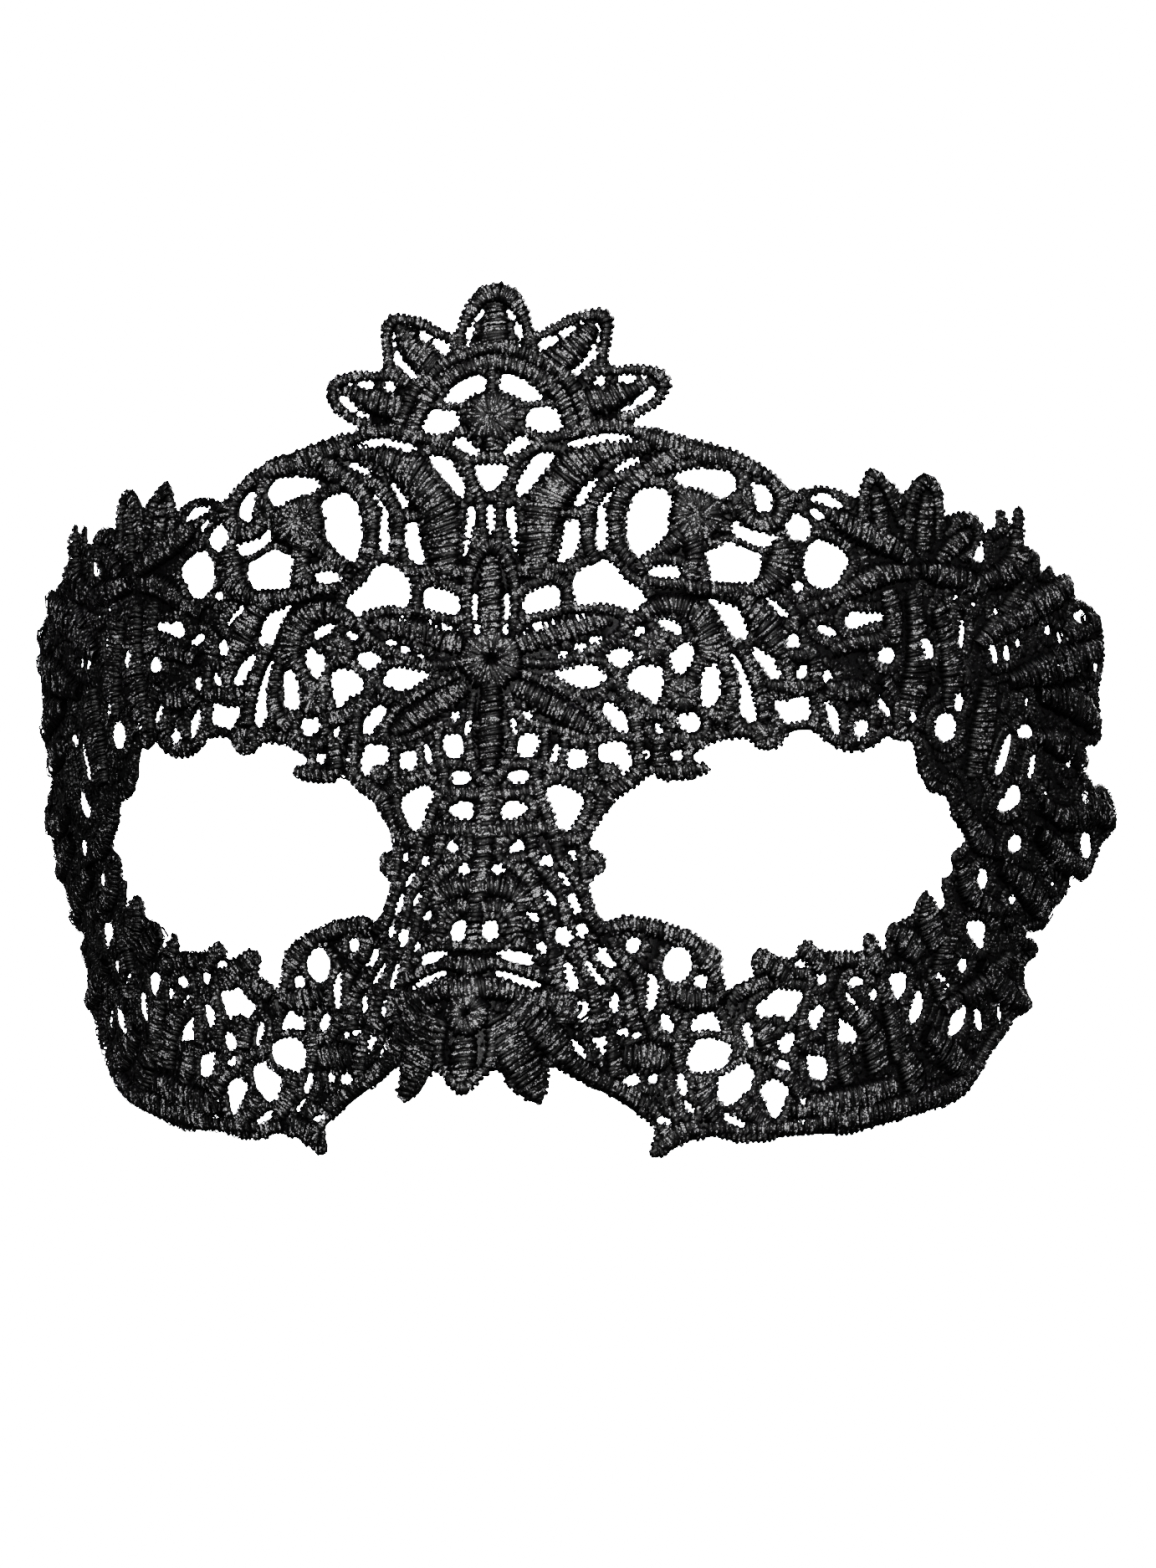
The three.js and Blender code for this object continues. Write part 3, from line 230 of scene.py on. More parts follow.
# The same for gaps with corners, each across and up
SMALL_GAPS = [
    [[39.3, -44.7], [40.1, -45.4], [40.8, -47.5], [41, -48.7], [40.3, -48.5], [39.3, -46.9], [38.8, -45.8]],
    [[46, -46.5], [47.4, -46.8], [47.6, -48.1], [47, -49.2], [45.7, -49.4], [45, -48.5], [44.8, -47.6]],
    [[45.1, -50.4], [46, -50.2], [47.4, -51], [47.8, -52], [46.4, -52], [45.2, -51.4]],
    [[47, -35.8], [47.6, -36.5], [48.2, -37.1], [47.6, -37.6], [46.6, -37.1], [45.7, -37.3], [45.8, -36.7],
     [46.6, -36.5]],
    [[50.5, -42.4], [51.6, -42.9], [51.6, -43.8], [51, -45.4], [50.5, -46.6], [49.7, -45.8], [49.1, -44.6],
     [49.4, -43.5]],
    [[54.2, -41], [54.8, -41], [57.4, -43.2], [57.2, -43.7], [55.5, -42.3]],
    [[49.7, -56.1], [51.3, -55.6], [51.8, -55.8], [51.2, -56.8], [50.2, -57]],
    [[50.2, -58.8], [52.2, -59], [52.6, -59.5], [51, -59.4]],
    [[3, 54.9], [3.9, 54.8], [4.4, 53.4], [4.3, 52.5], [3.5, 52.5], [3.1, 53.8]],
    [[7, 52.2], [8.2, 52.7], [9.4, 52.7], [9.3, 51.9], [8.4, 51.3], [7.6, 50.2], [6.7, 50.6], [6.5, 51.6]],
    [[9.3, 53], [10.6, 53.9], [11.7, 54.2], [12.2, 53.6], [11.2, 52.8], [10, 52.1], [9.4, 52.3]],
    [[15, 54.4], [15.5, 54.9], [15.8, 53.6], [15.5, 52.8], [15.1, 53.6]],
    [[14.7, 51.6], [15.3, 50.4], [15.2, 49.5], [14.6, 49.1], [13.9, 49.7], [14.3, 50.9]],
    [[13.2, 49.3], [14.2, 49.4], [14.4, 48.7], [13.4, 48], [12.5, 47.1], [11.5, 46.8], [11.5, 47.6],
     [12.4, 48.1]],
    [[18.2, 46.6], [19, 47.1], [20.4, 47], [21, 46.3], [19.7, 45.8], [18.4, 45.9]],
    [[23, 45.4], [23.6, 45], [23.6, 44.1], [22.6, 43.1], [21.8, 42.6], [20.4, 42.7], [21, 43.6], [22.1, 44.3]],
    [[17, 33.2], [18.2, 33.1], [20.2, 34], [21.9, 35], [20.6, 35.2], [18.4, 34.2]],
    [[45.9, 11.2], [47.2, 11.8], [49.9, 9.8], [47.4, 10]], [[81.2, -27.2], [83.6, -27.2], [82.4, -29]],
    [[73.2, -36.8], [74.6, -36], [75.6, -36.8], [74.8, -39]],
    [[30.6, -38.8], [32.2, -38], [33, -40], [31, -40]],
    [[27, -43.5], [28.2, -44.8], [28.4, -46.5], [27.8, -47.3], [27, -46.3], [26.2, -45.4], [26, -44.2]],
    [[16.4, -46.8], [18.8, -46.8], [18.6, -50], [17.6, -48.4]],
    [[30.3, -52.1], [31.2, -53.1], [31.9, -54.8], [31, -55.3], [29.9, -54], [29.6, -52.7]],
    [[2.6, -9.8], [4.4, -9.3], [5.6, -9.6], [5.4, -11.2], [2.8, -11]],
    [[3.2, -20.6], [4.8, -19], [5.7, -20.6], [4.4, -21.3]], [[7.5, -23], [9, -20.9], [9.7, -23]],
    [[11.8, -27.4], [12.8, -26.6], [14, -29.2], [13.2, -30]],
    [[23, 12], [25, 12.4], [27.3, 11], [26.8, 10.1], [25.4, 10.3]],
    [[62.2, 9.6], [63.6, 10.1], [64.8, 7.8], [63.4, 6.4]],
    [[3, -37.8], [4.2, -37.5], [8, -38.6], [10, -39.8], [8.8, -40.1], [6.4, -39.3]],
    [[16, -34.8], [17.4, -34], [18, -35.8], [19.8, -37.3], [17.6, -36.9], [16.2, -36]],
    [[12, -36.1], [13.4, -37], [14.4, -40.2], [13.4, -40.6], [12.6, -39.6]],
    [[26.2, -1.5], [28.6, -1], [29.7, -2], [29.3, -3.5], [27.9, -3.8], [26.5, -2.8]],
    [[57, 8.9], [58.3, 7.4], [58.2, 6.4], [57, 5.9], [55, 6.8]],
    [[15.5, 0], [16.6, 0.8], [18.4, -0.8], [19.7, -2.6], [19.4, -3.9], [18, -3.7], [16.3, -1.4]],
    [[73.1, 24.6], [73.4, 20.6], [70.8, 21.5], [72, 23]],
]

# Satin strokes of the +X half: points, each across, up and width
STROKES = {
    "crown_fan": [
        [[3.9, 42.8, 0.9], [9.8, 43.1, 0.9]], [[3.5, 39.4, 1.6], [7, 38.6, 1.6]],
        [[6.2, 50.6, 1.6], [5.8, 52.4, 1.6], [7.4, 53, 1.5], [10.2, 54.5, 1.6], [12.8, 55.5, 1.7],
         [15, 55.9, 2], [16.4, 55.2, 2.4], [16.8, 53.6, 2], [16.5, 51.6, 1.7], [16, 49.6, 1.6],
         [15.8, 48.4, 1.5], [14.4, 47.2, 1.4]],
        [[8.4, 48.4, 4.2], [10.4, 50.2, 5], [12.4, 51.9, 4.4], [13.8, 53.3, 2.8], [14.8, 54.4, 1.4]],
        [[13.6, 46.2, 1.4], [15.8, 47.6, 1.6], [18.6, 47.7, 1.5], [21, 47.8, 1.5], [23.4, 47.3, 1.9],
         [24.9, 46.2, 2.2], [25, 44.8, 2.1], [23.9, 43.2, 1.8], [22.2, 41.9, 1.7], [20.4, 41.1, 1.6],
         [18.2, 40.8, 1.5]],
        [[13.4, 42.9, 3.6], [15.4, 43.3, 4.2], [17.4, 43.9, 3.8], [19.4, 44.6, 3], [21.2, 45.2, 2],
         [22.6, 45.7, 1.2]],
    ],
    "brow_medallion": [
        [[13, 39, 2], [8, 38, 2], [4, 35.1, 2], [2.4, 31.5, 1.8], [1.3, 28, 1.8], [1.1, 23, 1.8]],
        [[6.6, 18.8, 3], [6.7, 21.5, 5], [6.9, 25.5, 6.6], [8.7, 30.4, 6.4], [12.4, 34, 5.4], [17, 36.2, 2.8],
         [22.5, 36.7, 2.2]],
        [[15, 20.4, 2], [13.9, 23.2, 2.2], [13.9, 27.5, 2.2], [15.8, 30.8, 2.2], [18.6, 32.8, 2]],
        [[9.3, 27.4, 1.6], [14, 27.2, 1.6]],
        [[4, 19.4, 2], [7.8, 18.6, 1.8], [10.7, 17, 1.9], [10.9, 13.4, 1.8]],
        [[8, 19.6, 1.8], [11.5, 19.4, 1.6], [15, 20.5, 1.8]],
    ],
    "brow_scroll": [
        [[12.3, 39.3, 2], [16, 39.7, 2], [20, 39.3, 2.2], [23.5, 37.8, 3.2], [27, 36.7, 3.2], [31, 35.3, 3],
         [35, 34.9, 2.9], [38.7, 33.3, 2.8], [41.2, 30.9, 2.9], [41.9, 28.2, 2.9], [40.7, 26.2, 2.6],
         [38.5, 25.7, 2.3], [36.3, 26.6, 2.4], [35.4, 28.4, 2.6]],
        [[36.2, 33.6, 1.2], [36.7, 30.5, 1.2]],
        [[20, 20.2, 2.4], [18.1, 22.8, 2.6], [17.7, 26.5, 2.6], [18.8, 30, 2.7], [21.5, 32.5, 2.8],
         [24.5, 34.4, 3.2], [27, 36, 2.6]],
        [[32, 27.6, 1.8], [35, 28.2, 1.8]], [[25.5, 32.4, 1.6], [27.4, 29.8, 1.8]],
        [[28.3, 24.5, 3.6], [29, 21, 2.8], [28.2, 17.8, 2.4]],
        [[21.5, 20.9, 1.6], [24.5, 22.2, 2.4], [27, 24, 3]],
        [[27.5, 16.8, 2.4], [31, 16.4, 2.2], [35, 16.2, 2.4], [38.5, 17, 3], [41.2, 19.5, 5.2],
         [41.5, 22.8, 4], [41.2, 24.8, 1.6]],
        [[31, 22.8, 0.9], [33.8, 23.7, 0.9], [37.5, 22.2, 0.9], [39.8, 22, 0.9]],
        [[42.3, 29.6, 1.6], [44.5, 29.9, 1.6]],
    ],
    "brow_lace": [
        [[19.6, 11.4, 2], [22, 13.3, 2.4], [25.8, 14.3, 3], [29.4, 12.3, 4], [31, 8.5, 4], [30.2, 5.6, 2.4]],
        [[24, 9, 1.8], [25, 6.6, 1.5], [25.2, 3.4, 1.6]], [[29.6, 7, 2.4], [28.6, 4.2, 2.4], [27.8, 2.5, 2.4]],
        [[32.4, 9, 1.6], [33.6, 4.5, 2.2], [34, 0.8, 2.4], [32.8, -2.2, 3.6]],
        [[29.2, -0.3, 1.6], [31.5, -1.4, 2.2], [33, -2.4, 3]],
        [[34.2, 9.8, 1.6], [36.4, 6, 2], [38, 1.8, 2.2], [38.7, -2, 2.2]],
        [[33.5, 0, 2.6], [34.6, -3, 2.4], [36, -4, 1.6], [37.8, -4.2, 1.8]],
        [[34.4, 16, 2.6], [36.9, 13.6, 4.2], [39.4, 10.6, 4.6], [41, 7.4, 2.4]],
        [[39.2, 2.8, 1.6], [42, 2.6, 2.4], [46, 2.4, 2.4]], [[41, 8, 1.8], [41.9, 5.6, 1.6], [42.4, 3.4, 1.8]],
        [[44.9, 8.8, 2.4], [46, 6, 2.2], [46.3, 2.6, 2]], [[41.5, 7.6, 1.6], [43.4, 7, 2.2], [46, 7.6, 2.4]],
        [[48, 2.6, 2.4], [51, 1.8, 2.6], [54, 2.2, 2.8]],
        [[56.2, 4.2, 2], [58.6, 1.2, 1.8], [58.9, -2.2, 2], [60, -4.4, 1.6]],
        [[17.9, 3, 1.8], [19.4, 0.6, 2], [22.6, -1.1, 2.4], [25.6, -1.3, 2], [25.4, -3.6, 1.8]],
        [[29.9, -0.8, 1.6], [30.7, -2.6, 1.6], [30, -4.4, 1.8], [27.5, -4.9, 1.8], [25.2, -4.4, 1.8]],
        [[13.4, 1.4, 1.6], [16, 2.2, 1.6], [18.2, 4.3, 1.6], [20.8, 6.5, 1.4]],
        [[12.6, 6.3, 1.4], [15.8, 6.2, 1.4], [17.9, 4.2, 1.6], [19, 1.4, 1.8], [20.4, -0.8, 2],
         [20.6, -3.4, 2.2]],
        [[20.2, -0.4, 2], [20.6, -3.4, 2], [21, -6.2, 1.8], [21.4, -9.6, 2.2]],
        [[24, -5, 2.4], [24, -8.6, 2.8]],
        [[22.6, -9.4, 1.6], [24.6, -9.4, 2.2], [28, -9.4, 2.2], [30.6, -8.9, 1.7]],
        [[27.9, -5.8, 2.4], [30.2, -5.2, 1.6], [33, -3.8, 2]], [[27.9, -5.6, 1.6], [28, -8.6, 1.4]],
    ],
    "temple_flower": [
        [[53.4, 24.4, 1.5], [53.3, 28, 1.6], [53.9, 31.2, 1.8], [55.2, 32.9, 2.1], [56.8, 31.8, 1.8],
         [58.2, 29, 1.6], [59.4, 26, 1.5]],
        [[60.2, 24, 1.5], [60.9, 28.4, 1.6], [62, 31, 1.8], [63.9, 32.4, 2.2], [65.3, 31, 1.8],
         [65.6, 28, 1.6], [65.4, 24, 1.5]],
        [[66.8, 24.6, 1.4], [68.8, 26.4, 1.6], [71, 26.8, 1.9], [72.4, 25, 1.8], [71.6, 22.6, 1.6],
         [69, 21.2, 1.4]],
        [[56.8, 23, 2.2], [56, 27, 2.6], [55.4, 30.6, 1.8]],
        [[62.6, 22.6, 2.2], [63.2, 27, 2.8], [63.8, 30.4, 1.8]],
        [[65.4, 20.8, 2], [68, 23.4, 2.8], [70.2, 24.8, 1.8]],
        [[60.6, 21.2, 2.2], [57.4, 23, 3.4], [53.4, 24.8, 4], [50, 26.4, 3], [47.6, 27.6, 1.6]],
        [[60.2, 19.2, 2.2], [56.8, 19, 3.2], [53.2, 17.6, 3.2], [50, 15.6, 2.2], [46.8, 14.4, 2]],
        [[62, 19.6, 2.4], [66, 18.9, 3.4], [70, 18.2, 3.4], [73, 16.8, 2.2]],
        [[61, 16, 2.4], [61.8, 8, 3.6], [61.4, 3, 4.6], [59.4, -2.6, 2.4]],
        [[65, 14, 2.4], [67.6, 6, 4], [67.4, 0, 2.4]],
        [[57.6, 11, 2.2], [55.6, 9.2, 3], [52, 9, 2.4], [48.4, 7.6, 2]],
        [[57, 16.6, 2.4], [57.8, 13, 3], [58, 9, 2.4]],
    ],
    "side_wing": [
        [[72, 18, 2.4], [79, 20.6, 4.8], [80.2, 27.8, 2]], [[74, 11, 2.4], [84, 15.4, 4.8], [90.4, 18.4, 2.9]],
        [[78, 4, 2.4], [89, 6.6, 5.8], [98, 9.4, 2.9]],
        [[86, -14, 2.4], [93, -16, 3.8], [100, -14.4, 4.8], [106.4, -16.6, 2]],
        [[79, -23, 2.4], [86.6, -26.8, 4.8], [90.8, -30.6, 2.4]], [[72, 9, 2.4], [77, 13, 4.4], [80, 17, 2.6]],
        [[84, 2, 2.4], [92, 1, 5], [98, -2, 3]], [[84, -4, 2.4], [90, -5, 4.6], [96, -8, 2.4]],
        [[70, -14, 2.2], [74, -19, 3.6], [79, -21, 2.2]], [[74, 4, 2.4], [73.4, -3, 4.4], [72, -10, 2.4]],
        [[86, -18, 2.4], [92, -21.4, 4.6], [98, -23.6, 2.4]], [[88, 10, 2.4], [93, 12.4, 4], [97.6, 13.4, 2.4]],
        [[71, -22, 2.2], [74, -27, 3.6], [80, -29.6, 2.2]],
    ],
    "centre_flower": [
        [[4.4, 12.2, 1.3], [8, 12.9, 1.4], [11.6, 13.9, 1.5], [15, 14, 1.6], [18, 13.3, 1.9], [19.3, 12, 1.9],
         [18.4, 10.3, 1.6], [16.4, 8.9, 1.5], [13.4, 7.6, 1.5], [10.4, 6.3, 1.5], [7.2, 5.9, 1.5],
         [4.6, 6.4, 1.5]],
        [[4, 8.7, 2.8], [7, 9.6, 3.4], [10, 10.6, 3.5], [13, 11.4, 3], [15.6, 12, 2.2], [17.2, 12.3, 1.4]],
        [[4.6, 4.6, 1.4], [8.4, 3, 1.4], [11.6, 1.4, 1.4], [14.2, -0.4, 1.5], [15.9, -2.7, 1.8],
         [15.8, -4.4, 1.8], [13.6, -4.8, 1.6], [10.6, -3.8, 1.5], [7.8, -2.9, 1.4], [5, -2.3, 1.3],
         [3.4, -0.6, 1.2]],
        [[3.4, 2.9, 2.4], [6.6, 1.1, 3.4], [9.6, -0.6, 3.6], [12.4, -2.3, 3], [14.4, -3.6, 1.8]],
    ],
    "nose_bridge": [
        [[14.2, -4.8, 1.8], [17.5, -4.4, 1.4], [20.8, -4.5, 1.6]],
        [[14.4, -4.9, 1.6], [14.4, -9, 1.6], [14.6, -11.8, 2]],
        [[7.6, -3.4, 1.6], [7.8, -7.2, 1.5], [6.6, -9.6, 1.8], [7.2, -12.5, 1.8], [8.5, -15.6, 1.9],
         [9.6, -18.6, 2.4]],
        [[10.6, -4.6, 1.4], [10.3, -8.8, 1.4]],
        [[2.6, -8.6, 1.6], [6.8, -8.3, 1.6], [10, -9.6, 1.8], [13.2, -10.8, 2], [16.2, -12.6, 2.4]],
        [[14.3, -18.6, 2], [15.7, -16, 2.6], [16.2, -13.4, 2.6], [19, -11.2, 2.6], [21.6, -9, 2.4]],
        [[9.6, -18.7, 2.2], [12, -19.2, 2.2], [14.3, -18.7, 2]],
        [[9.9, -19, 2.4], [10.6, -22, 1.4], [12.4, -24.4, 1.4], [14, -27.2, 1.6], [15, -30, 2],
         [16.8, -32, 2.2]],
        [[13.6, -20, 1.6], [13.9, -23.5, 1.6], [14.6, -26, 1.6], [15.6, -29, 1.8]],
        [[6.4, -18.6, 2.2], [7, -21.6, 1.6], [9.4, -24.6, 2], [11, -27.2, 1.5], [11.8, -30.4, 1.5],
         [13.4, -33.4, 1.6], [14.8, -36, 1.4]],
        [[2.2, -18.5, 1.6], [2.2, -21.5, 1.6], [4.2, -23, 1.6], [6.5, -24.6, 2.4], [8.2, -27.4, 1.8],
         [9.6, -30.8, 1.8], [10, -32.9, 1.2]],
        [[0, -25.6, 2.6], [3.5, -26, 3.4], [6, -27.4, 3], [6, -29.6, 1.6]],
        [[0, -29, 1.6], [3.2, -28.8, 2.6], [5.2, -30.4, 2.2], [5.2, -33, 2.6], [7, -34, 1.8]],
        [[0, -34.4, 1.4], [3, -34.2, 1.2], [7, -34.6, 1.4], [9.6, -36.4, 1.6]],
        [[9.4, -31.6, 1.4], [10.2, -34, 1.2], [11.4, -36.4, 1.8], [12, -39.4, 2]],
    ],
    "nose_flower": [
        [[4.2, -44, 4], [7.2, -49.5, 5.4], [10.4, -55.2, 1.6]],
        [[0, -37, 3.4], [3, -36.6, 1.6], [6.5, -37.4, 1.4], [10.6, -38.8, 1.8]],
        [[0, -40, 4], [4, -40, 3], [8, -41, 3.4], [12, -42.4, 3.4], [16, -45.5, 2.2]],
        [[6, -42, 4.4], [10, -45.6, 4.6], [14, -50, 2.6], [18.5, -53.6, 2.2]],
    ],
    "cheek_scroll": [
        [[33.4, -53, 2.4], [34.6, -55.6, 3.2], [37, -58.4, 3]],
        [[36.6, -52.2, 1], [38.2, -51.2, 1.3], [40, -50.2, 1.2]],
        [[17.4, -32, 2.2], [20.4, -31, 2.6], [24.5, -31.8, 2.6], [28.6, -32.8, 2.8], [32.6, -36, 4.2],
         [34.2, -38.2, 2.4], [35.4, -41.6, 2.4]],
        [[12.4, -34.6, 1.6], [14.6, -37.4, 1.3], [16.2, -40.6, 1.8], [17.2, -44, 2.6], [17.4, -45.8, 2]],
        [[15.6, -34, 1.4], [16.4, -36.6, 1.1], [18.6, -38.8, 1.4], [20.8, -40.8, 1.8], [21.8, -44, 2.2],
         [22.6, -47.8, 4]],
        [[18.2, -33, 1.6], [19.6, -35.8, 2], [22.6, -38.6, 2.4], [23.2, -42.4, 1.6], [24.6, -44.6, 2.4]],
        [[10.6, -35.4, 1.8], [11.2, -38.4, 1.8], [13, -42, 2.2], [12.6, -45, 3.4]],
        [[24.6, -36.8, 1.6], [26, -40.2, 1.6], [26.2, -42.8, 2]],
        [[27.2, -41, 2.6], [30.5, -41.8, 3.4], [34.5, -42, 2.6]],
        [[24.6, -44.8, 2.2], [26.6, -47.4, 2.4], [29.6, -46.2, 2.2], [30.2, -43.6, 1.8]],
        [[31, -46.9, 1], [34, -46.6, 1], [37.4, -48, 1]],
        [[29.6, -46.5, 2.4], [29.6, -50, 2.6], [30.6, -52.2, 1.8]],
        [[14.6, -51.2, 2], [19.5, -53.4, 2.2], [23.5, -55.6, 2.2], [27, -57.2, 2.2], [29.4, -60.6, 2.2]],
        [[33.8, -59.6, 3], [30.6, -61, 3], [28.6, -62.6, 2.4]],
        [[21, -49.5, 3.6], [24.5, -49.8, 4.6], [28, -50.2, 3]],
        [[18.6, -46, 1.6], [19.8, -49.5, 2.2], [20.4, -52.4, 2.2]],
    ],
    "cheek_flower": [
        [[49, -57.6, 2], [54, -57, 4], [60, -56, 4.6], [66, -54.4, 3]],
        [[41.6, -45, 2.4], [42.8, -46.8, 3.4], [43.4, -49, 2.8]],
        [[40.8, -55.8, 1.6], [42.4, -57.6, 2.8], [45.6, -59.6, 2.6]],
        [[38, -48.8, 1.6], [41.6, -49.9, 1.8], [44.6, -51, 1.8], [47, -53, 2], [49.4, -54.8, 1.8]],
        [[48.6, -41.6, 1.6], [48.2, -45, 1.8], [49, -48.4, 2], [51.8, -49.2, 1.6]],
        [[52.6, -42, 1.8], [52.9, -45, 2], [53.4, -48.6, 2]],
        [[40.2, -36, 2.8], [43, -37.6, 3], [45.4, -39.2, 2.4]],
        [[36.6, -42, 2.2], [38.6, -40.4, 2.6], [42, -39.2, 2.2]],
        [[46.8, -34.6, 2.4], [49, -36.4, 2.6], [51.4, -37.8, 2]],
        [[51, -36.2, 2.2], [55, -36.4, 2.4], [60, -37.4, 2.6]],
        [[57.3, -33.4, 2.2], [58.6, -36, 2.8], [60, -38, 2]],
        [[60.6, -32.2, 2.2], [63, -33.4, 4.2], [66, -35.6, 3.6]],
        [[66, -27.6, 2.4], [67, -31, 4.4], [69, -34, 3.6]],
        [[55.4, -42.2, 1.7], [60, -46.8, 3.8], [62.6, -52, 3.8]],
        [[84, -36, 2.4], [79.6, -40, 3.8], [72, -43.6, 2.4]],
        [[36, -60, 2], [50, -60, 2.2], [66, -57.8, 3.8], [79, -54.4, 3.1], [85, -47, 2.2]],
        [[70, -47, 2.4], [76, -50.4, 4.4], [81, -53, 2.4]], [[66, -49, 2.2], [69, -53, 4], [71.6, -56.4, 2.2]],
        [[61, -41, 1.8], [64, -46, 3.2], [66, -51, 2]], [[78, -37, 2.2], [84, -41, 4], [90, -43.4, 2]],
        [[71, -33, 2.4], [70.4, -38, 3.4], [71.4, -42, 2]], [[55.6, -49.4, 2], [56.6, -52, 2.8], [58, -54, 2]],
        [[46, -51.6, 2], [52, -56.4, 3], [58, -58.6, 2]],
    ],
}

# Satin strokes that cross the middle line, drawn once, with the same columns
MIDDLE_STROKES = {
    "centre_flower": [
        [[-3.3, 12.5, 1.3], [-3.5, 15.4, 1.5], [-3.2, 18.6, 1.8], [-2, 21.4, 2.1], [0, 22.9, 2.3],
         [2, 21.4, 2.1], [3.2, 18.6, 1.8], [3.5, 15.4, 1.5], [3.3, 12.5, 1.3]],
        [[0, 10.2, 3], [0, 13, 3.5], [0, 16, 3.6], [0, 19, 3], [0, 21.2, 1.8]],
        [[-2.6, 1.8, 1.3], [-3.1, -1.8, 1.4], [-3.1, -5.4, 1.5], [-2.2, -9, 1.7], [0, -11.2, 2],
         [2.2, -9, 1.7], [3.1, -5.4, 1.5], [3.1, -1.8, 1.4], [2.6, 1.8, 1.3]],
        [[0, 3, 2.8], [0, -1, 3.6], [0, -4.5, 3.7], [0, -7.5, 3], [0, -9.8, 1.8]],
    ],
    "nose_flower": [
        [[-3.4, -45.4, 1.6], [-3.9, -48.4, 1.8], [-3, -51.4, 2], [0, -53.8, 2.3], [3, -51.4, 2],
         [3.9, -48.4, 1.8], [3.4, -45.4, 1.6]],
        [[0, -47, 3], [0, -49.4, 3.8], [0, -51.6, 2.8], [0, -53, 1.6]],
    ],
    "crown_fan": [
        [[-5.1, 51, 1.7], [-5, 53.2, 1.8], [-4.2, 55.8, 2.1], [-3, 57.8, 2.5], [-1.6, 59, 3], [0, 59.5, 3.2],
         [1.6, 59, 3], [3, 57.8, 2.5], [4.2, 55.8, 2.1], [5, 53.2, 1.8], [5.1, 51, 1.7]],
        [[0, 51.2, 5.4], [0, 53.2, 4.9], [0, 55.4, 3.8], [0, 57.2, 2.6]],
        [[-12.1, 38.9, 2.6], [-8.6, 45.6, 2.6], [0, 49.1, 2.6], [8.6, 45.6, 2.6], [12.1, 38.9, 2.6]],
        [[-14.3, 40, 2.4], [-10.2, 47.1, 2.4], [0, 51.4, 2.4], [10.2, 47.1, 2.4], [14.3, 40, 2.4]],
        [[0, 44.3, 1.3], [0, 48.3, 1.3]], [[0, 38, 2], [0, 36.4, 2]],
    ],
    "brow_medallion": [
        [[-3.6, 35.2, 1.5], [0, 35.2, 2], [3.6, 35.2, 1.5]],
    ],
    "nose_bridge": [
        [[0, -11, 2.6], [0, -16.5, 3.4], [0, -21, 3], [0, -26, 3], [0, -30, 2.2], [0, -35, 2.2]],
        [[-7, -12.2, 1.8], [0, -12.8, 2.2], [7, -12.2, 1.8]],
        [[-8.6, -17.6, 2.2], [0, -17.9, 2.6], [8.6, -17.6, 2.2]],
    ],
}

# Rosettes with threads that run outward: across, up, half width, half height, share left open in the middle
ROSETTES = [
    [29.3, 27.1, 4.2, 4.1, 0], [35.8, 28.8, 1.9, 1.9, 0], [22.7, 8.3, 2.5, 2.3, 0], [27.1, 1.6, 2.6, 2.8, 0],
    [39.3, -4.6, 2.5, 2.3, 0], [17, -9.6, 1.9, 1.3, 0], [15.5, -22.7, 1.5, 2, 0],
]
MIDDLE_ROSETTES = [
    [0, 41.2, 4.4, 3.7, 0], [0, 6.7, 4.9, 4.4, 0.12], [0, -43.4, 3, 3.2, 0.12],
]

# Rings of satin: across, up, half width, half height, turn in degrees, width of the satin
RINGS = [
    [24.9, 19, 4.5, 2.5, -4, 2.6], [51.4, -1, 4.9, 5, 0, 2], [53.2, -2.6, 2.3, 2.9, 0, 2],
    [21.3, -34, 2.3, 2.3, 0, 2], [28, -36.9, 3.4, 3.7, 0, 2],
]


class Layer(Enum):
    """A kind of satin row; edge and fill rows have less shine, a painted shade round the strokes."""

    EDGE = (0.58, 0.72, 0.1, 1.0)
    FILL = (0.36, 0.3, 0.1, 1.0)
    CORD = (0.88, 0.95, 0.16, 1.0)
    LEAF = (1.05, 1.0, 0.16, 1.0)
    ROSETTE = (0.8, 0.9, 0.1, 0.5)

    def __init__(self, height: float, shine: float, slant: float, closeness: float) -> None:
        """Names the four values of a kind.

        Args:
            height: how high its stitches stand, in millimetres.
            shine: how bright its painted glints are at most.
            slant: how far its stitches lean from straight across, in radians.
            closeness: its pitch as a share of the usual one.
        """
        self.height, self.shine, self.slant, self.closeness = height, shine, slant, closeness


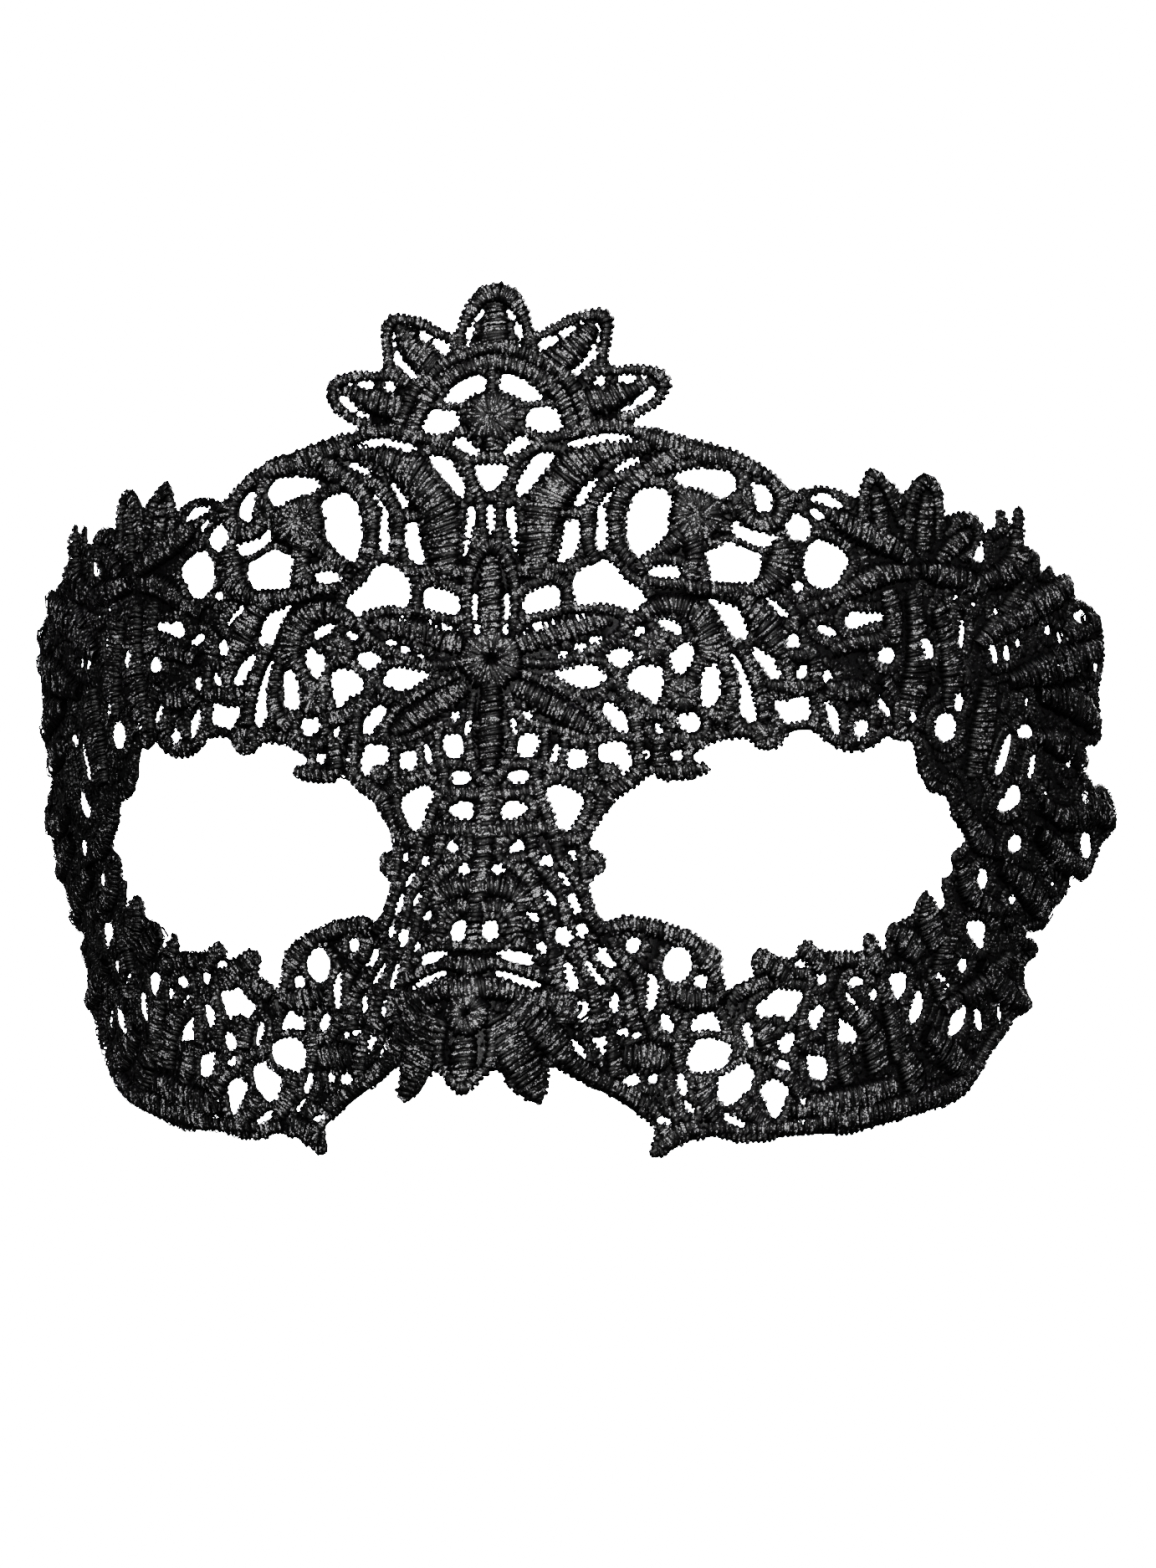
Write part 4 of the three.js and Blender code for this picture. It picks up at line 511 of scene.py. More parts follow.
@dataclass(frozen=True)
class HeadForm:
    """The face that the mask is shaped to, in millimetres."""

    half_width: float = 87.0
    depth: float = 75.5
    nose_height: float = 17.0
    nose_half_width: float = 14.0
    nose_start: float = -25.0
    nose_fade: float = 8.0
    lean: float = 0.0275
    span: float = 60.0
    bow: float = 0.9
    fall: float = 6.5
    spread: float = 0.045
    taper: float = 0.085
    probe: float = 0.5

    def surface(self, across: np.ndarray, up: np.ndarray) -> np.ndarray:
        """Points on the inner face of the lace.

        Args:
            across: chart distances from the middle line.
            up: chart heights.

        Returns:
            One row of x, y and z for each point.
        """
        share = up / self.span
        half = self.half_width * (1 + self.spread * share - self.taper * share**2)
        mean = (self.half_width + self.depth) / 2
        angle = across / mean - (self.half_width - self.depth) / (4 * mean) * np.sin(2 * across / mean)
        x = half * np.sin(angle)
        face = self.lean * up + self.bow * share**2 - self.fall * share**3
        nose = self.nose_height / (1 + np.exp((up - self.nose_start) / self.nose_fade))
        nose = nose * np.exp(-((x / self.nose_half_width) ** 2))
        return np.stack([x, self.depth * (1 - np.cos(angle)) - face - nose, up], axis=-1)

    def bend(self, flat: np.ndarray) -> np.ndarray:
        """Bends flat points round the face.

        Args:
            flat: rows of across, up and height above the chart.

        Returns:
            Rows of x, y and z in metres.
        """
        s, u = flat[:, 0], flat[:, 1]
        along = self.surface(s + self.probe, u) - self.surface(s - self.probe, u)
        rise = self.surface(s, u + self.probe) - self.surface(s, u - self.probe)
        out = np.cross(along, rise)
        out /= np.linalg.norm(out, axis=1, keepdims=True)
        return (self.surface(s, u) + out * flat[:, 2:3]) * MM


@dataclass
class Chart:
    """The flat drawing of the lace: its outline, its gaps and its satin strokes."""

    arc_step: float = 0.18  # radians of an arc from point to point
    rounding: int = 2  # times that the corners of a gap are cut
    corner_cut: float = 0.2  # share of each side that a cut takes off
    opened: float = 0.96  # size of a gap with corners, against its row
    leaf_width: float = 3.3  # strokes that grow wider are leaves
    rosette_corners: int = 21
    rosette_rings: tuple[tuple[float, float], ...] = ((1.0, 1.0), (0.5, 1.3))  # size, reach of its satin
    rosette_lobes: tuple[float, float] = (1.06, 0.82)  # satin of most corners, and of every third

    @staticmethod
    def mirrored(points: list) -> list:
        """Points on the other side of the middle line, in reverse order."""
        return [[-row[0], *row[1:]] for row in reversed(points)]

    def arcs(self, rows: list, closed: bool) -> list:
        """Points along a table of arcs.

        Args:
            rows: across, up and the bulge of the arc to the next row.
            closed: whether the last row leads back to the first.

        Returns:
            Points, each across and up.
        """
        points = []
        ends = rows[1:] + rows[:1] if closed else rows[1:]
        for (x0, y0, bulge), (x1, y1, *_) in zip(rows, ends):
            sweep = 4 * math.atan(bulge)
            steps = max(1, round(abs(sweep) / self.arc_step))
            for step in range(steps):
                angle = sweep * (step / steps - 0.5)
                if steps == 1:
                    along, rise = 0.0, 0.0
                else:
                    along = 0.5 + math.sin(angle) / (2 * math.sin(sweep / 2))
                    rise = (math.cos(angle) - math.cos(sweep / 2)) / (2 * math.sin(sweep / 2))
                points.append([x0 + (x1 - x0) * along - (y1 - y0) * rise, y0 + (y1 - y0) * along + (x1 - x0) * rise])
        return points if closed else points + [rows[-1][:2]]

    @staticmethod
    def area(line: np.ndarray) -> float:
        """Area inside a closed line."""
        return abs(np.dot(line[:, 0], np.roll(line[:, 1], 1)) - np.dot(line[:, 1], np.roll(line[:, 0], 1))) / 2

    def rounded(self, points: list) -> list:
        """Cuts the corners of a closed outline a few times and keeps its area, so that it runs round.

        Args:
            points: across and up of each corner.

        Returns:
            The rounder outline.
        """
        line = np.array(points, float)
        whole = self.area(line)
        near, far = 1 - self.corner_cut, self.corner_cut
        for _ in range(self.rounding):
            following = np.roll(line, -1, axis=0)
            line = np.stack([line * near + following * far, line * far + following * near], axis=1).reshape(-1, 2)
        middle = line.mean(axis=0)
        return (middle + (line - middle) * math.sqrt(whole / self.area(line)) * self.opened).tolist()

    @staticmethod
    def oval(row: list, corners: int = 14) -> list:
        """Points round an oval.

        Args:
            row: across, up, width, height and turn in degrees.
            corners: how many points.

        Returns:
            Points, each across and up.
        """
        x, y, width, height, turn = row
        tilt = math.radians(turn)
        points = []
        for corner in range(corners):
            angle = 2 * math.pi * corner / corners
            a, b = math.cos(angle) * width / 2, math.sin(angle) * height / 2
            points.append([x + a * math.cos(tilt) - b * math.sin(tilt), y + a * math.sin(tilt) + b * math.cos(tilt)])
        return points

    def outlines(self) -> list[np.ndarray]:
        """The outer edge and every opening.

        Returns:
            Closed lines of points.
        """
        half = self.arcs(OUTER_EDGE, closed=False)
        lines = [half + self.mirrored(half)[1:-1]]
        sided = [self.arcs(EYE_EDGE, closed=True)]
        sided += [self.rounded(gap) for gap in CORNER_GAPS + SMALL_GAPS]
        sided += [self.oval(row) for row in OVAL_GAPS + SMALL_OVALS]
        lines += sided + [self.mirrored(line) for line in sided]
        lines += [self.rounded(gap) for gap in MIDDLE_GAPS]
        return [np.array(line, float) for line in lines]

    def charted(self, row: list) -> tuple[Layer, list]:
        """A charted stroke with its kind: a leaf where it grows wide, or else a cord."""
        return (Layer.LEAF if max(point[2] for point in row) > self.leaf_width else Layer.CORD, row)

    def rosette(self, row: list) -> list[tuple[Layer, list]]:
        """Rings of threads that run outward.

        Args:
            row: across, up, half width, half height and the share left open in the middle.

        Returns:
            One ring round an open middle, or else an outer and an inner ring.
        """
        x, y, width, height, hole = row
        rings = []
        for size, reach in self.rosette_rings[:1] if hole else self.rosette_rings:
            corners = self.oval([x, y, width * (size + hole), height * (size + hole), 0], self.rosette_corners)
            satin = (width + height) / 2 * size * reach * (1 - hole)
            ring = [[*point, satin * self.rosette_lobes[corner % 3 == 0]] for corner, point in enumerate(corners)]
            rings.append((Layer.ROSETTE, ring + ring[:1]))
        return rings

    def strokes(self) -> list[tuple[Layer, list]]:
        """Every satin stroke, on both halves.

        Returns:
            The kind of each stroke, and its rows of across, up and width.
        """
        sided = [self.charted(row) for rows in STROKES.values() for row in rows]
        middle = [self.charted(row) for rows in MIDDLE_STROKES.values() for row in rows]
        for x, y, width, height, turn, satin in RINGS:
            ring = [[*point, satin] for point in self.oval([x, y, 2 * width - satin, 2 * height - satin, turn])]
            sided.append((Layer.CORD, ring + ring[:1]))
        for rows, group in ((ROSETTES, sided), (MIDDLE_ROSETTES, middle)):
            for row in rows:
                group += self.rosette(row)
        return middle + sided + [(layer, self.mirrored(row)) for layer, row in sided]


@dataclass
class EdgeField:
    """Distance to the nearest edge of the lace, read on a fine square grid."""

    outlines: list[np.ndarray]
    pitch: float = 0.4
    reach: float = 9.0
    border: float = 1.001  # squares, keeps a point off the last line of the grid
    most_dropped: int = 5  # points of a contour that is too short to count
    low: tuple[float, float] = (-112.0, -68.0)
    high: tuple[float, float] = (112.0, 65.0)
    xs: np.ndarray = field(init=False)
    ys: np.ndarray = field(init=False)
    distance: np.ndarray = field(init=False)

    def __post_init__(self) -> None:
        """Fills the grid: positive inside the lace, negative in its gaps."""
        self.xs = np.arange(self.low[0], self.high[0], self.pitch)
        self.ys = np.arange(self.low[1], self.high[1], self.pitch)
        away = np.full((len(self.ys), len(self.xs)), self.reach)
        inside = np.zeros(away.shape, bool)
        for line in self.outlines:
            self.measure(away, line)
            self.fill(inside, line)
        self.distance = np.where(inside, away, -away)

    def measure(self, away: np.ndarray, line: np.ndarray) -> None:
        """Lowers the distances round one closed line.

        Args:
            away: the grid of distances, changed in place.
            line: the points of the line.
        """
        for (x0, y0), (x1, y1) in zip(line, np.roll(line, -1, axis=0)):
            i0, i1 = np.searchsorted(self.xs, [min(x0, x1) - self.reach, max(x0, x1) + self.reach])
            j0, j1 = np.searchsorted(self.ys, [min(y0, y1) - self.reach, max(y0, y1) + self.reach])
            px, py = self.xs[i0:i1][None, :] - x0, self.ys[j0:j1][:, None] - y0
            dx, dy = x1 - x0, y1 - y0
            share = np.clip((px * dx + py * dy) / max(dx * dx + dy * dy, TINY), 0, 1)
            gap = np.hypot(px - share * dx, py - share * dy)
            away[j0:j1, i0:i1] = np.minimum(away[j0:j1, i0:i1], gap)

    def fill(self, inside: np.ndarray, line: np.ndarray) -> None:
        """Turns inside to outside, and back, within one closed line.

        Args:
            inside: the grid of yes and no, changed in place.
            line: the points of the line.
        """
        following = np.roll(line, -1, axis=0)
        j0, j1 = np.searchsorted(self.ys, [line[:, 1].min(), line[:, 1].max()])
        for j in range(j0, j1):
            y = self.ys[j]
            crosses = (line[:, 1] <= y) != (following[:, 1] <= y)
            a, b = line[crosses], following[crosses]
            places = np.sort(a[:, 0] + (y - a[:, 1]) * (b[:, 0] - a[:, 0]) / (b[:, 1] - a[:, 1]))
            for start, end in zip(places[::2], places[1::2]):
                i0, i1 = np.searchsorted(self.xs, [start, end])
                inside[j, i0:i1] ^= True

    def at(self, points: np.ndarray, grid: np.ndarray | None = None) -> np.ndarray:
        """Reads the distance at any points, smoothly between the squares.

        Args:
            points: rows of across and up.
            grid: another grid of the same size, in place of the distances.

        Returns:
            One value for each point.
        """
        grid = self.distance if grid is None else grid
        fx = np.clip((points[..., 0] - self.low[0]) / self.pitch, 0, len(self.xs) - self.border)
        fy = np.clip((points[..., 1] - self.low[1]) / self.pitch, 0, len(self.ys) - self.border)
        i, j = fx.astype(int), fy.astype(int)
        u, v = fx - i, fy - j
        near = grid[j, i] * (1 - u) + grid[j, i + 1] * u
        return near * (1 - v) + (grid[j + 1, i] * (1 - u) + grid[j + 1, i + 1] * u) * v

    def contours(self, level: float) -> list[np.ndarray]:
        """Closed lines along which the distance has one value.

        Args:
            level: the distance from the edge.

        Returns:
            Lines of points, with the lace on their left.
        """
        value = self.distance - level
        full = value > 0
        ends: dict[tuple, tuple] = {}
        places: dict[tuple, tuple] = {}

        def crossing(j: int, i: int, side: str) -> tuple:
            """Finds where the line crosses one side of a square, and stores the place.

            Args:
                j: row of the square.
                i: column of the square.
                side: one of its four sides.

            Returns:
                The key of the crossing.
            """
            shift_j, shift_i, dj, di = SQUARE_SIDES[side]
            j, i = j + shift_j, i + shift_i
            key = (2 * j + dj, 2 * i + di)
            if key not in places:
                a, b = value[j, i], value[j + dj, i + di]
                share = a / (a - b)
                places[key] = (self.xs[i] + share * di * self.pitch, self.ys[j] + share * dj * self.pitch)
            return key

        corners = full[:-1, :-1] * 1 + full[:-1, 1:] * 2 + full[1:, 1:] * 4 + full[1:, :-1] * 8
        for j, i in zip(*np.nonzero((corners > 0) & (corners < 15))):
            for start, end in SQUARE_LINKS[int(corners[j, i])]:
                ends[crossing(j, i, start)] = crossing(j, i, end)
        lines = []
        while ends:
            first, key = ends.popitem()
            line = [places[first]]
            while key in ends:
                line.append(places[key])
                key = ends.pop(key)
            if key == first and len(line) > self.most_dropped:
                lines.append(np.array(line))
        return lines


@dataclass
class StitchRows:
    """Places for single satin stitches, gathered row by row, in millimetres."""

    edges: EdgeField
    pitch: float = 0.43
    probe: float = 0.3  # along a line, for its direction
    turn_spread: float = 0.05
    proud: tuple[float, float] = (0.28, -0.12)  # past the edge of the lace, for even and for odd stitches
    proud_spread: float = 0.05
    longer: tuple[float, float] = (0.12, -0.08)  # than half the width, for even and for odd stitches
    half_span: tuple[float, float] = (0.25, 0.3)  # least that is tried, and least that is kept
    tries: tuple[float, float, int] = (0.1, 1.15, 22)  # shares of the reach: first, last, how many
    sampled: tuple[float, float, int] = (-0.9, 0.9, 5)  # the same for the places along a stitch
    least_inside: float = 0.1
    most_taken: float = 0.85  # share of a stitch that may lie on others
    usual_half_span: float = 1.1  # stands as high as its kind
    height_range: tuple[float, float] = (0.65, 1.25)
    height_spread: float = 0.09
    breadth: tuple[float, float] = (1.3, 0.9)  # of the thread, for even and for odd stitches
    breadth_range: tuple[float, float] = (0.92, 1.1)
    shade: tuple[float, float, float] = (40.0, 35.0, 0.3)  # painted side shade: starts across, is full after, dims by
    centres: list = field(default_factory=list)
    spans: list = field(default_factory=list)
    heights: list = field(default_factory=list)
    breadths: list = field(default_factory=list)
    shines: list = field(default_factory=list)
    covered: np.ndarray = field(init=False)
    random: np.random.Generator = field(init=False)

    def __post_init__(self) -> None:
        """Starts with nothing covered."""
        self.covered = np.zeros(self.edges.distance.shape)
        self.random = np.random.default_rng(SEED)

    @staticmethod
    def smooth(points: np.ndarray, per_row: int = 8) -> np.ndarray:
        """A smooth line through the rows of a stroke.

        Args:
            points: rows of across, up and width.
            per_row: points from each row to the next.

        Returns:
            Rows of across, up and width.
        """
        if len(points) < 3:
            return np.linspace(points[0], points[-1], per_row + 1)
        closed = np.allclose(points[0, :2], points[-1, :2])
        before = points[-2] if closed else 2 * points[0] - points[1]
        after = points[1] if closed else 2 * points[-1] - points[-2]
        rows = np.vstack([before, points, after])
        t = np.arange(per_row)[:, None] / per_row
        parts = []
        for a, b, c, d in zip(rows, rows[1:], rows[2:], rows[3:]):
            curve = 2 * b + (c - a) * t + (2 * a - 5 * b + 4 * c - d) * t**2 + (3 * b - a - 3 * c + d) * t**3
            parts.append(0.5 * curve)
        return np.vstack([*parts, points[-1:]])

    def tips(self, centre: np.ndarray, side: np.ndarray, reach: np.ndarray, proud: np.ndarray) -> np.ndarray:
        """Ends of stitches on one side, as far out as they may go.

        Args:
            centre: the points that the stitches cross.
            side: their directions.
            reach: their wanted half lengths.
            proud: how far past the edge of the lace each may go.

        Returns:
            One point for each stitch.
        """
        best = np.full(len(reach), self.half_span[0])
        free = np.ones(len(reach), bool)
        for share in np.linspace(*self.tries):
            free &= self.edges.at(centre + side * (reach * share)[:, None]) >= -proud
            best = np.where(free, np.maximum(reach * share, best), best)
        return centre + side * best[:, None]

    def cover(self, samples: np.ndarray) -> None:
        """Marks the squares under stitches as taken, with their neighbours.

        Args:
            samples: points along the stitches.
        """
        i, j = np.rint((samples - self.edges.low) / self.edges.pitch).astype(int).T
        for dj, di in ((0, 0), (-1, 0), (1, 0), (0, -1), (0, 1)):
            self.covered[j + dj, i + di] = 1

    def lay(self, line: np.ndarray, layer: Layer, skip_covered: bool) -> None:
        """Lays stitches across a line.

        Args:
            line: rows of across, up and width.
            layer: the kind of row.
            skip_covered: leaves out the stitches whose place is taken.
        """
        steps = np.hypot(*np.diff(line[:, :2], axis=0).T)
        run = np.concatenate([[0], np.cumsum(steps)])
        count = max(2, round(run[-1] / (self.pitch * layer.closeness)))
        even = np.arange(count) % 2 == 0
        where = (np.arange(count) + 0.5) * run[-1] / count
        x, y, width = (np.interp(where, run, line[:, k]) for k in range(3))
        later, earlier = where + self.probe, where - self.probe
        ahead = np.stack([np.interp(later, run, line[:, k]) - np.interp(earlier, run, line[:, k]) for k in (0, 1)], 1)
        ahead /= np.maximum(np.hypot(*ahead.T), TINY)[:, None]
        turn = layer.slant + self.random.normal(0, self.turn_spread, count)
        side = np.stack([-ahead[:, 1] * np.cos(turn) - ahead[:, 0] * np.sin(turn),
                         ahead[:, 0] * np.cos(turn) - ahead[:, 1] * np.sin(turn)], 1)
        centre = np.stack([x, y], 1)
        proud = np.where(even, *self.proud) + self.random.normal(0, self.proud_spread, count)
        reach = width / 2 + np.where(even, *self.longer)
        one, other = (self.tips(centre, sign * side, reach, proud) for sign in (1, -1))
        middle, half = (one + other) / 2, (one - other) / 2
        length = np.hypot(*half.T)
        samples = middle[:, None, :] + half[:, None, :] * np.linspace(*self.sampled)[None, :, None]
        keep = (length > self.half_span[1]) & (self.edges.at(middle) > self.least_inside)
        if skip_covered:
            taken = self.edges.at(samples, self.covered) > 0.5
            keep &= taken.mean(axis=1) < self.most_taken
        self.cover(samples[keep].reshape(-1, 2))
        height = layer.height * np.clip(length / self.usual_half_span, *self.height_range)
        height = height * (1 + self.random.normal(0, self.height_spread, count))
        breadth = np.where(even, *self.breadth) * self.random.uniform(*self.breadth_range, count)
        # Painted shade: a stitch's glint strength is its kind's shine at random, dimmed toward the sides
        start, width_of_shade, dimmed = self.shade
        aside = np.clip((np.abs(middle[keep, 0]) - start) / width_of_shade, 0, 1)
        self.centres.append(middle[keep])
        self.spans.append(half[keep])
        self.heights.append(height[keep])
        self.breadths.append(breadth[keep])
        self.shines.append(layer.shine * self.random.random(count)[keep] * (1 - dimmed * aside))

    def rows(self) -> tuple[np.ndarray, ...]:
        """All places, half spans, heights, breadths and shines."""
        singles = (np.concatenate(values) for values in (self.heights, self.breadths, self.shines))
        return np.vstack(self.centres), np.vstack(self.spans), *singles


@dataclass
class NodeKit:
    """Adds nodes to one tree."""

    tree: bpy.types.NodeTree
    detail: float = 2.0

    def add(self, kind: str, settings: dict | None = None, inputs: dict | None = None) -> bpy.types.Node:
        """Adds one node.

        Args:
            kind: its type.
            settings: its properties, by name.
            inputs: plain values, or sockets to link, by the name or number of the input.

        Returns:
            The node.
        """
        node = self.tree.nodes.new(kind)
        for name, value in (settings or {}).items():
            setattr(node, name, value)
        for key, value in (inputs or {}).items():
            if isinstance(value, bpy.types.NodeSocket):
                self.tree.links.new(value, node.inputs[key])
            else:
                node.inputs[key].default_value = value
        return node

    def math(self, operation: str, first: object, second: object) -> bpy.types.NodeSocket:
        """One arithmetic node between two sockets or numbers."""
        return self.add("ShaderNodeMath", {"operation": operation}, {0: first, 1: second}).outputs[0]

    def attribute(self, name: str, output: str) -> bpy.types.NodeSocket:
        """The value of a mesh attribute in a material."""
        return self.add("ShaderNodeAttribute", {"attribute_name": name}).outputs[output]

    def noise(self, where: bpy.types.NodeSocket, scale: float) -> bpy.types.NodeSocket:
        """Noise over a place or along the threads."""
        inputs = {"Scale": scale, "Detail": self.detail, "Vector": where}
        return self.add("ShaderNodeTexNoise", {}, inputs).outputs["Fac"]

    def between(self, value: bpy.types.NodeSocket, low: float, high: float) -> bpy.types.NodeSocket:
        """A soft step from nought to one."""
        inputs = {"From Min": low, "From Max": high, "Value": value}
        return self.add("ShaderNodeMapRange", {"interpolation_type": "SMOOTHSTEP"}, inputs).outputs["Result"]


@dataclass(frozen=True)
class BlackThread:
    """Glossy black embroidery thread: black between the turns, with grey glints painted on their crests."""

    name: str = "black_satin_thread"
    colour: tuple[float, float, float] = (0.002, 0.002, 0.0022)
    # Painted highlight: the colour of the glints, mixed into the black
    pale: tuple[float, float, float] = (0.97, 0.97, 0.99)
    roughness: tuple[float, float] = (0.22, 0.54)
    specular: float = 0.25
    speck: float = 0.00016
    streak: float = 1.9
    patch: float = 0.003
    bump: float = 0.6
    bump_height: float = 0.0001
    speck_step: tuple[float, float] = (0.5, 0.62)
    streak_step: tuple[float, float] = (0.44, 0.62)
    patch_step: tuple[float, float] = (0.38, 0.62)
    crest_power: float = 4.2
    glint_strength_power: float = 3.0
    least_glint_strength: float = 0.04
    least_patch: float = 0.6
    strength: float = 34.0
    contrast: float = 1.9

    def material(self) -> bpy.types.Material:
        """Builds the node material: grey glints painted into the base colour by crest, glint strength and thread.

        Returns:
            The finished material.
        """
        mat = bpy.data.materials.new(self.name)
        mat.use_nodes = True
        kit = NodeKit(mat.node_tree)
        shader = mat.node_tree.nodes["Principled BSDF"]
        shader.inputs["Specular IOR Level"].default_value = self.specular
        place = kit.add("ShaderNodeTexCoord").outputs["Object"]
        speck = kit.noise(place, 1 / self.speck)
        streaks = kit.between(kit.noise(kit.attribute("thread", "Vector"), self.streak), *self.streak_step)
        patches = kit.between(kit.noise(place, 1 / self.patch), *self.patch_step)
        glint_strength = kit.math("POWER", kit.attribute("glint_strength", "Fac"), self.glint_strength_power)
        # Painted highlight: glints grow with the crest of each turn, painting the tops pale and leaving the sides
        # black
        level = kit.math("POWER", kit.attribute("crest", "Fac"), self.crest_power)
        for factor in (streaks, kit.between(speck, *self.speck_step), kit.math("ADD", glint_strength, self.least_glint_strength),
                       kit.math("ADD", patches, self.least_patch), self.strength):
            level = kit.math("MULTIPLY", level, factor)
        level = kit.math("POWER", kit.math("MINIMUM", level, 1.0), self.contrast)
        # The mix paints the glints into the base colour
        factor_input, black_input, glint_colour_input, colour_output = 0, 6, 7, 2
        mix = kit.add("ShaderNodeMix", {"data_type": "RGBA"}, {
            factor_input: level, black_input: (*self.colour, 1), glint_colour_input: (*self.pale, 1)})
        gloss = kit.add("ShaderNodeMapRange", {}, {
            "To Min": self.roughness[0], "To Max": self.roughness[1], "Value": speck})
        bump = kit.add("ShaderNodeBump", {}, {
            "Strength": self.bump, "Distance": self.bump_height, "Height": speck})
        for output, name in ((mix.outputs[colour_output], "Base Color"), (gloss.outputs["Result"], "Roughness"),
                             (bump.outputs["Normal"], "Normal")):
            mat.node_tree.links.new(output, shader.inputs[name])
        return mat


@dataclass(frozen=True)
class PaleFloor:
    """The plain pale paper under and behind the mask."""

    name: str = "pale_paper"
    colour: tuple[float, float, float] = (0.9, 0.9, 0.9)
    roughness: float = 0.9
    glow: float = 40.0

    def material(self) -> bpy.types.Material:
        """Builds the matte material.

        Returns:
            The finished material.
        """
        mat = bpy.data.materials.new(self.name)
        mat.use_nodes = True
        values = {"Base Color": (*self.colour, 1), "Roughness": self.roughness,
                  "Emission Color": (1, 1, 1, 1), "Emission Strength": self.glow}
        for name, value in values.items():
            mat.node_tree.nodes["Principled BSDF"].inputs[name].default_value = value
        return mat


@dataclass
class ThreadLoop:
    """One satin stitch: a thread that wraps over and under the ground."""

    around: int = 6
    thickness: float = 0.44
    side_length: float = 0.94  # of the thread's sides, against its middle
    side_height: float = 0.86

    def shape(self) -> bpy.types.Object:
        """Builds the loop, one unit long to each side and one unit high.

        Returns:
            A mesh object that the stitch rows repeat.
        """
        verts, faces = [], []
        half = self.thickness / 2
        for step in range(self.around):
            angle = 2 * math.pi * step / self.around
            across, up = math.cos(angle), math.sin(angle)
            beside = (across * self.side_length, up * self.side_height)
            verts += [(beside[0], -half, beside[1]), (across, 0.0, up), (beside[0], half, beside[1])]
        for step in range(self.around):
            a, b = 3 * step, 3 * ((step + 1) % self.around)
            faces += [(a, b, b + 1, a + 1), (a + 1, b + 1, b + 2, a + 2)]
        mesh = bpy.data.meshes.new("thread_loop")
        mesh.from_pydata(verts, [], faces)
        mesh.update()
        return bpy.data.objects.new("thread_loop", mesh)


@dataclass
class StitchNodes:
    """Geometry nodes that repeat a thread loop on every stitch place."""

    wobble: float = 0.05
    tree: bpy.types.GeometryNodeTree = field(init=False)

    def __post_init__(self) -> None:
        """Builds the tree with its named inputs."""
        self.tree = bpy.data.node_groups.new("satin_stitches", "GeometryNodeTree")
        face = self.tree.interface
        for name, kind in (("Geometry", "Geometry"), ("Loop", "Object"), ("Thread", "Material"),
                           ("Wobble", "Float"), ("Seed", "Int")):
            face.new_socket(name, in_out="INPUT", socket_type=f"NodeSocket{kind}")
        face.new_socket("Geometry", in_out="OUTPUT", socket_type="NodeSocketGeometry")
        kit = NodeKit(self.tree)
        given = kit.add("NodeGroupInput").outputs
        loop = kit.add("GeometryNodeObjectInfo", {}, {"Object": given["Loop"]})
        turn, stretch = (kit.add("GeometryNodeInputNamedAttribute", {"data_type": "FLOAT_VECTOR"}, {"Name": name})
                         for name in ("turn", "stretch"))
        least_input, most_input, number_output = 2, 3, 1
        chance = kit.add("FunctionNodeRandomValue", {"data_type": "FLOAT"}, {
            least_input: kit.math("SUBTRACT", 1.0, given["Wobble"]),
            most_input: kit.math("ADD", 1.0, given["Wobble"]), "Seed": given["Seed"]})
        vary = kit.add("ShaderNodeVectorMath", {"operation": "SCALE"}, {
            0: stretch.outputs["Attribute"], "Scale": chance.outputs[number_output]})
        place = kit.add("GeometryNodeInstanceOnPoints", {}, {
            "Points": given["Geometry"], "Instance": loop.outputs["Geometry"],
            "Rotation": turn.outputs["Attribute"], "Scale": vary.outputs["Vector"]})
        real = kit.add("GeometryNodeRealizeInstances", {}, {"Geometry": place.outputs["Instances"]})
        dress = kit.add("GeometryNodeSetMaterial", {}, {
            "Geometry": real.outputs["Geometry"], "Material": given["Thread"]})
        kit.add("NodeGroupOutput", {}, {"Geometry": dress.outputs["Geometry"]})

    def repeat(self, places: bpy.types.Object, loop: bpy.types.Object, thread: bpy.types.Material) -> bpy.types.Mesh:
        """Puts the loop on every place and returns the plain mesh.

        Args:
            places: an object whose points carry turn and stretch.
            loop: the shape to repeat.
            thread: its material.

        Returns:
            The realized mesh, still flat.
        """
        modifier = places.modifiers.new("stitches", "NODES")
        modifier.node_group = self.tree
        values = {"Loop": loop, "Thread": thread, "Wobble": self.wobble, "Seed": SEED}
        for item in self.tree.interface.items_tree:
            if item.in_out == "INPUT" and item.name in values:
                modifier[item.identifier] = values[item.name]
        graph = bpy.context.evaluated_depsgraph_get()
        mesh = bpy.data.meshes.new_from_object(places.evaluated_get(graph))
        places.modifiers.remove(modifier)
        return mesh


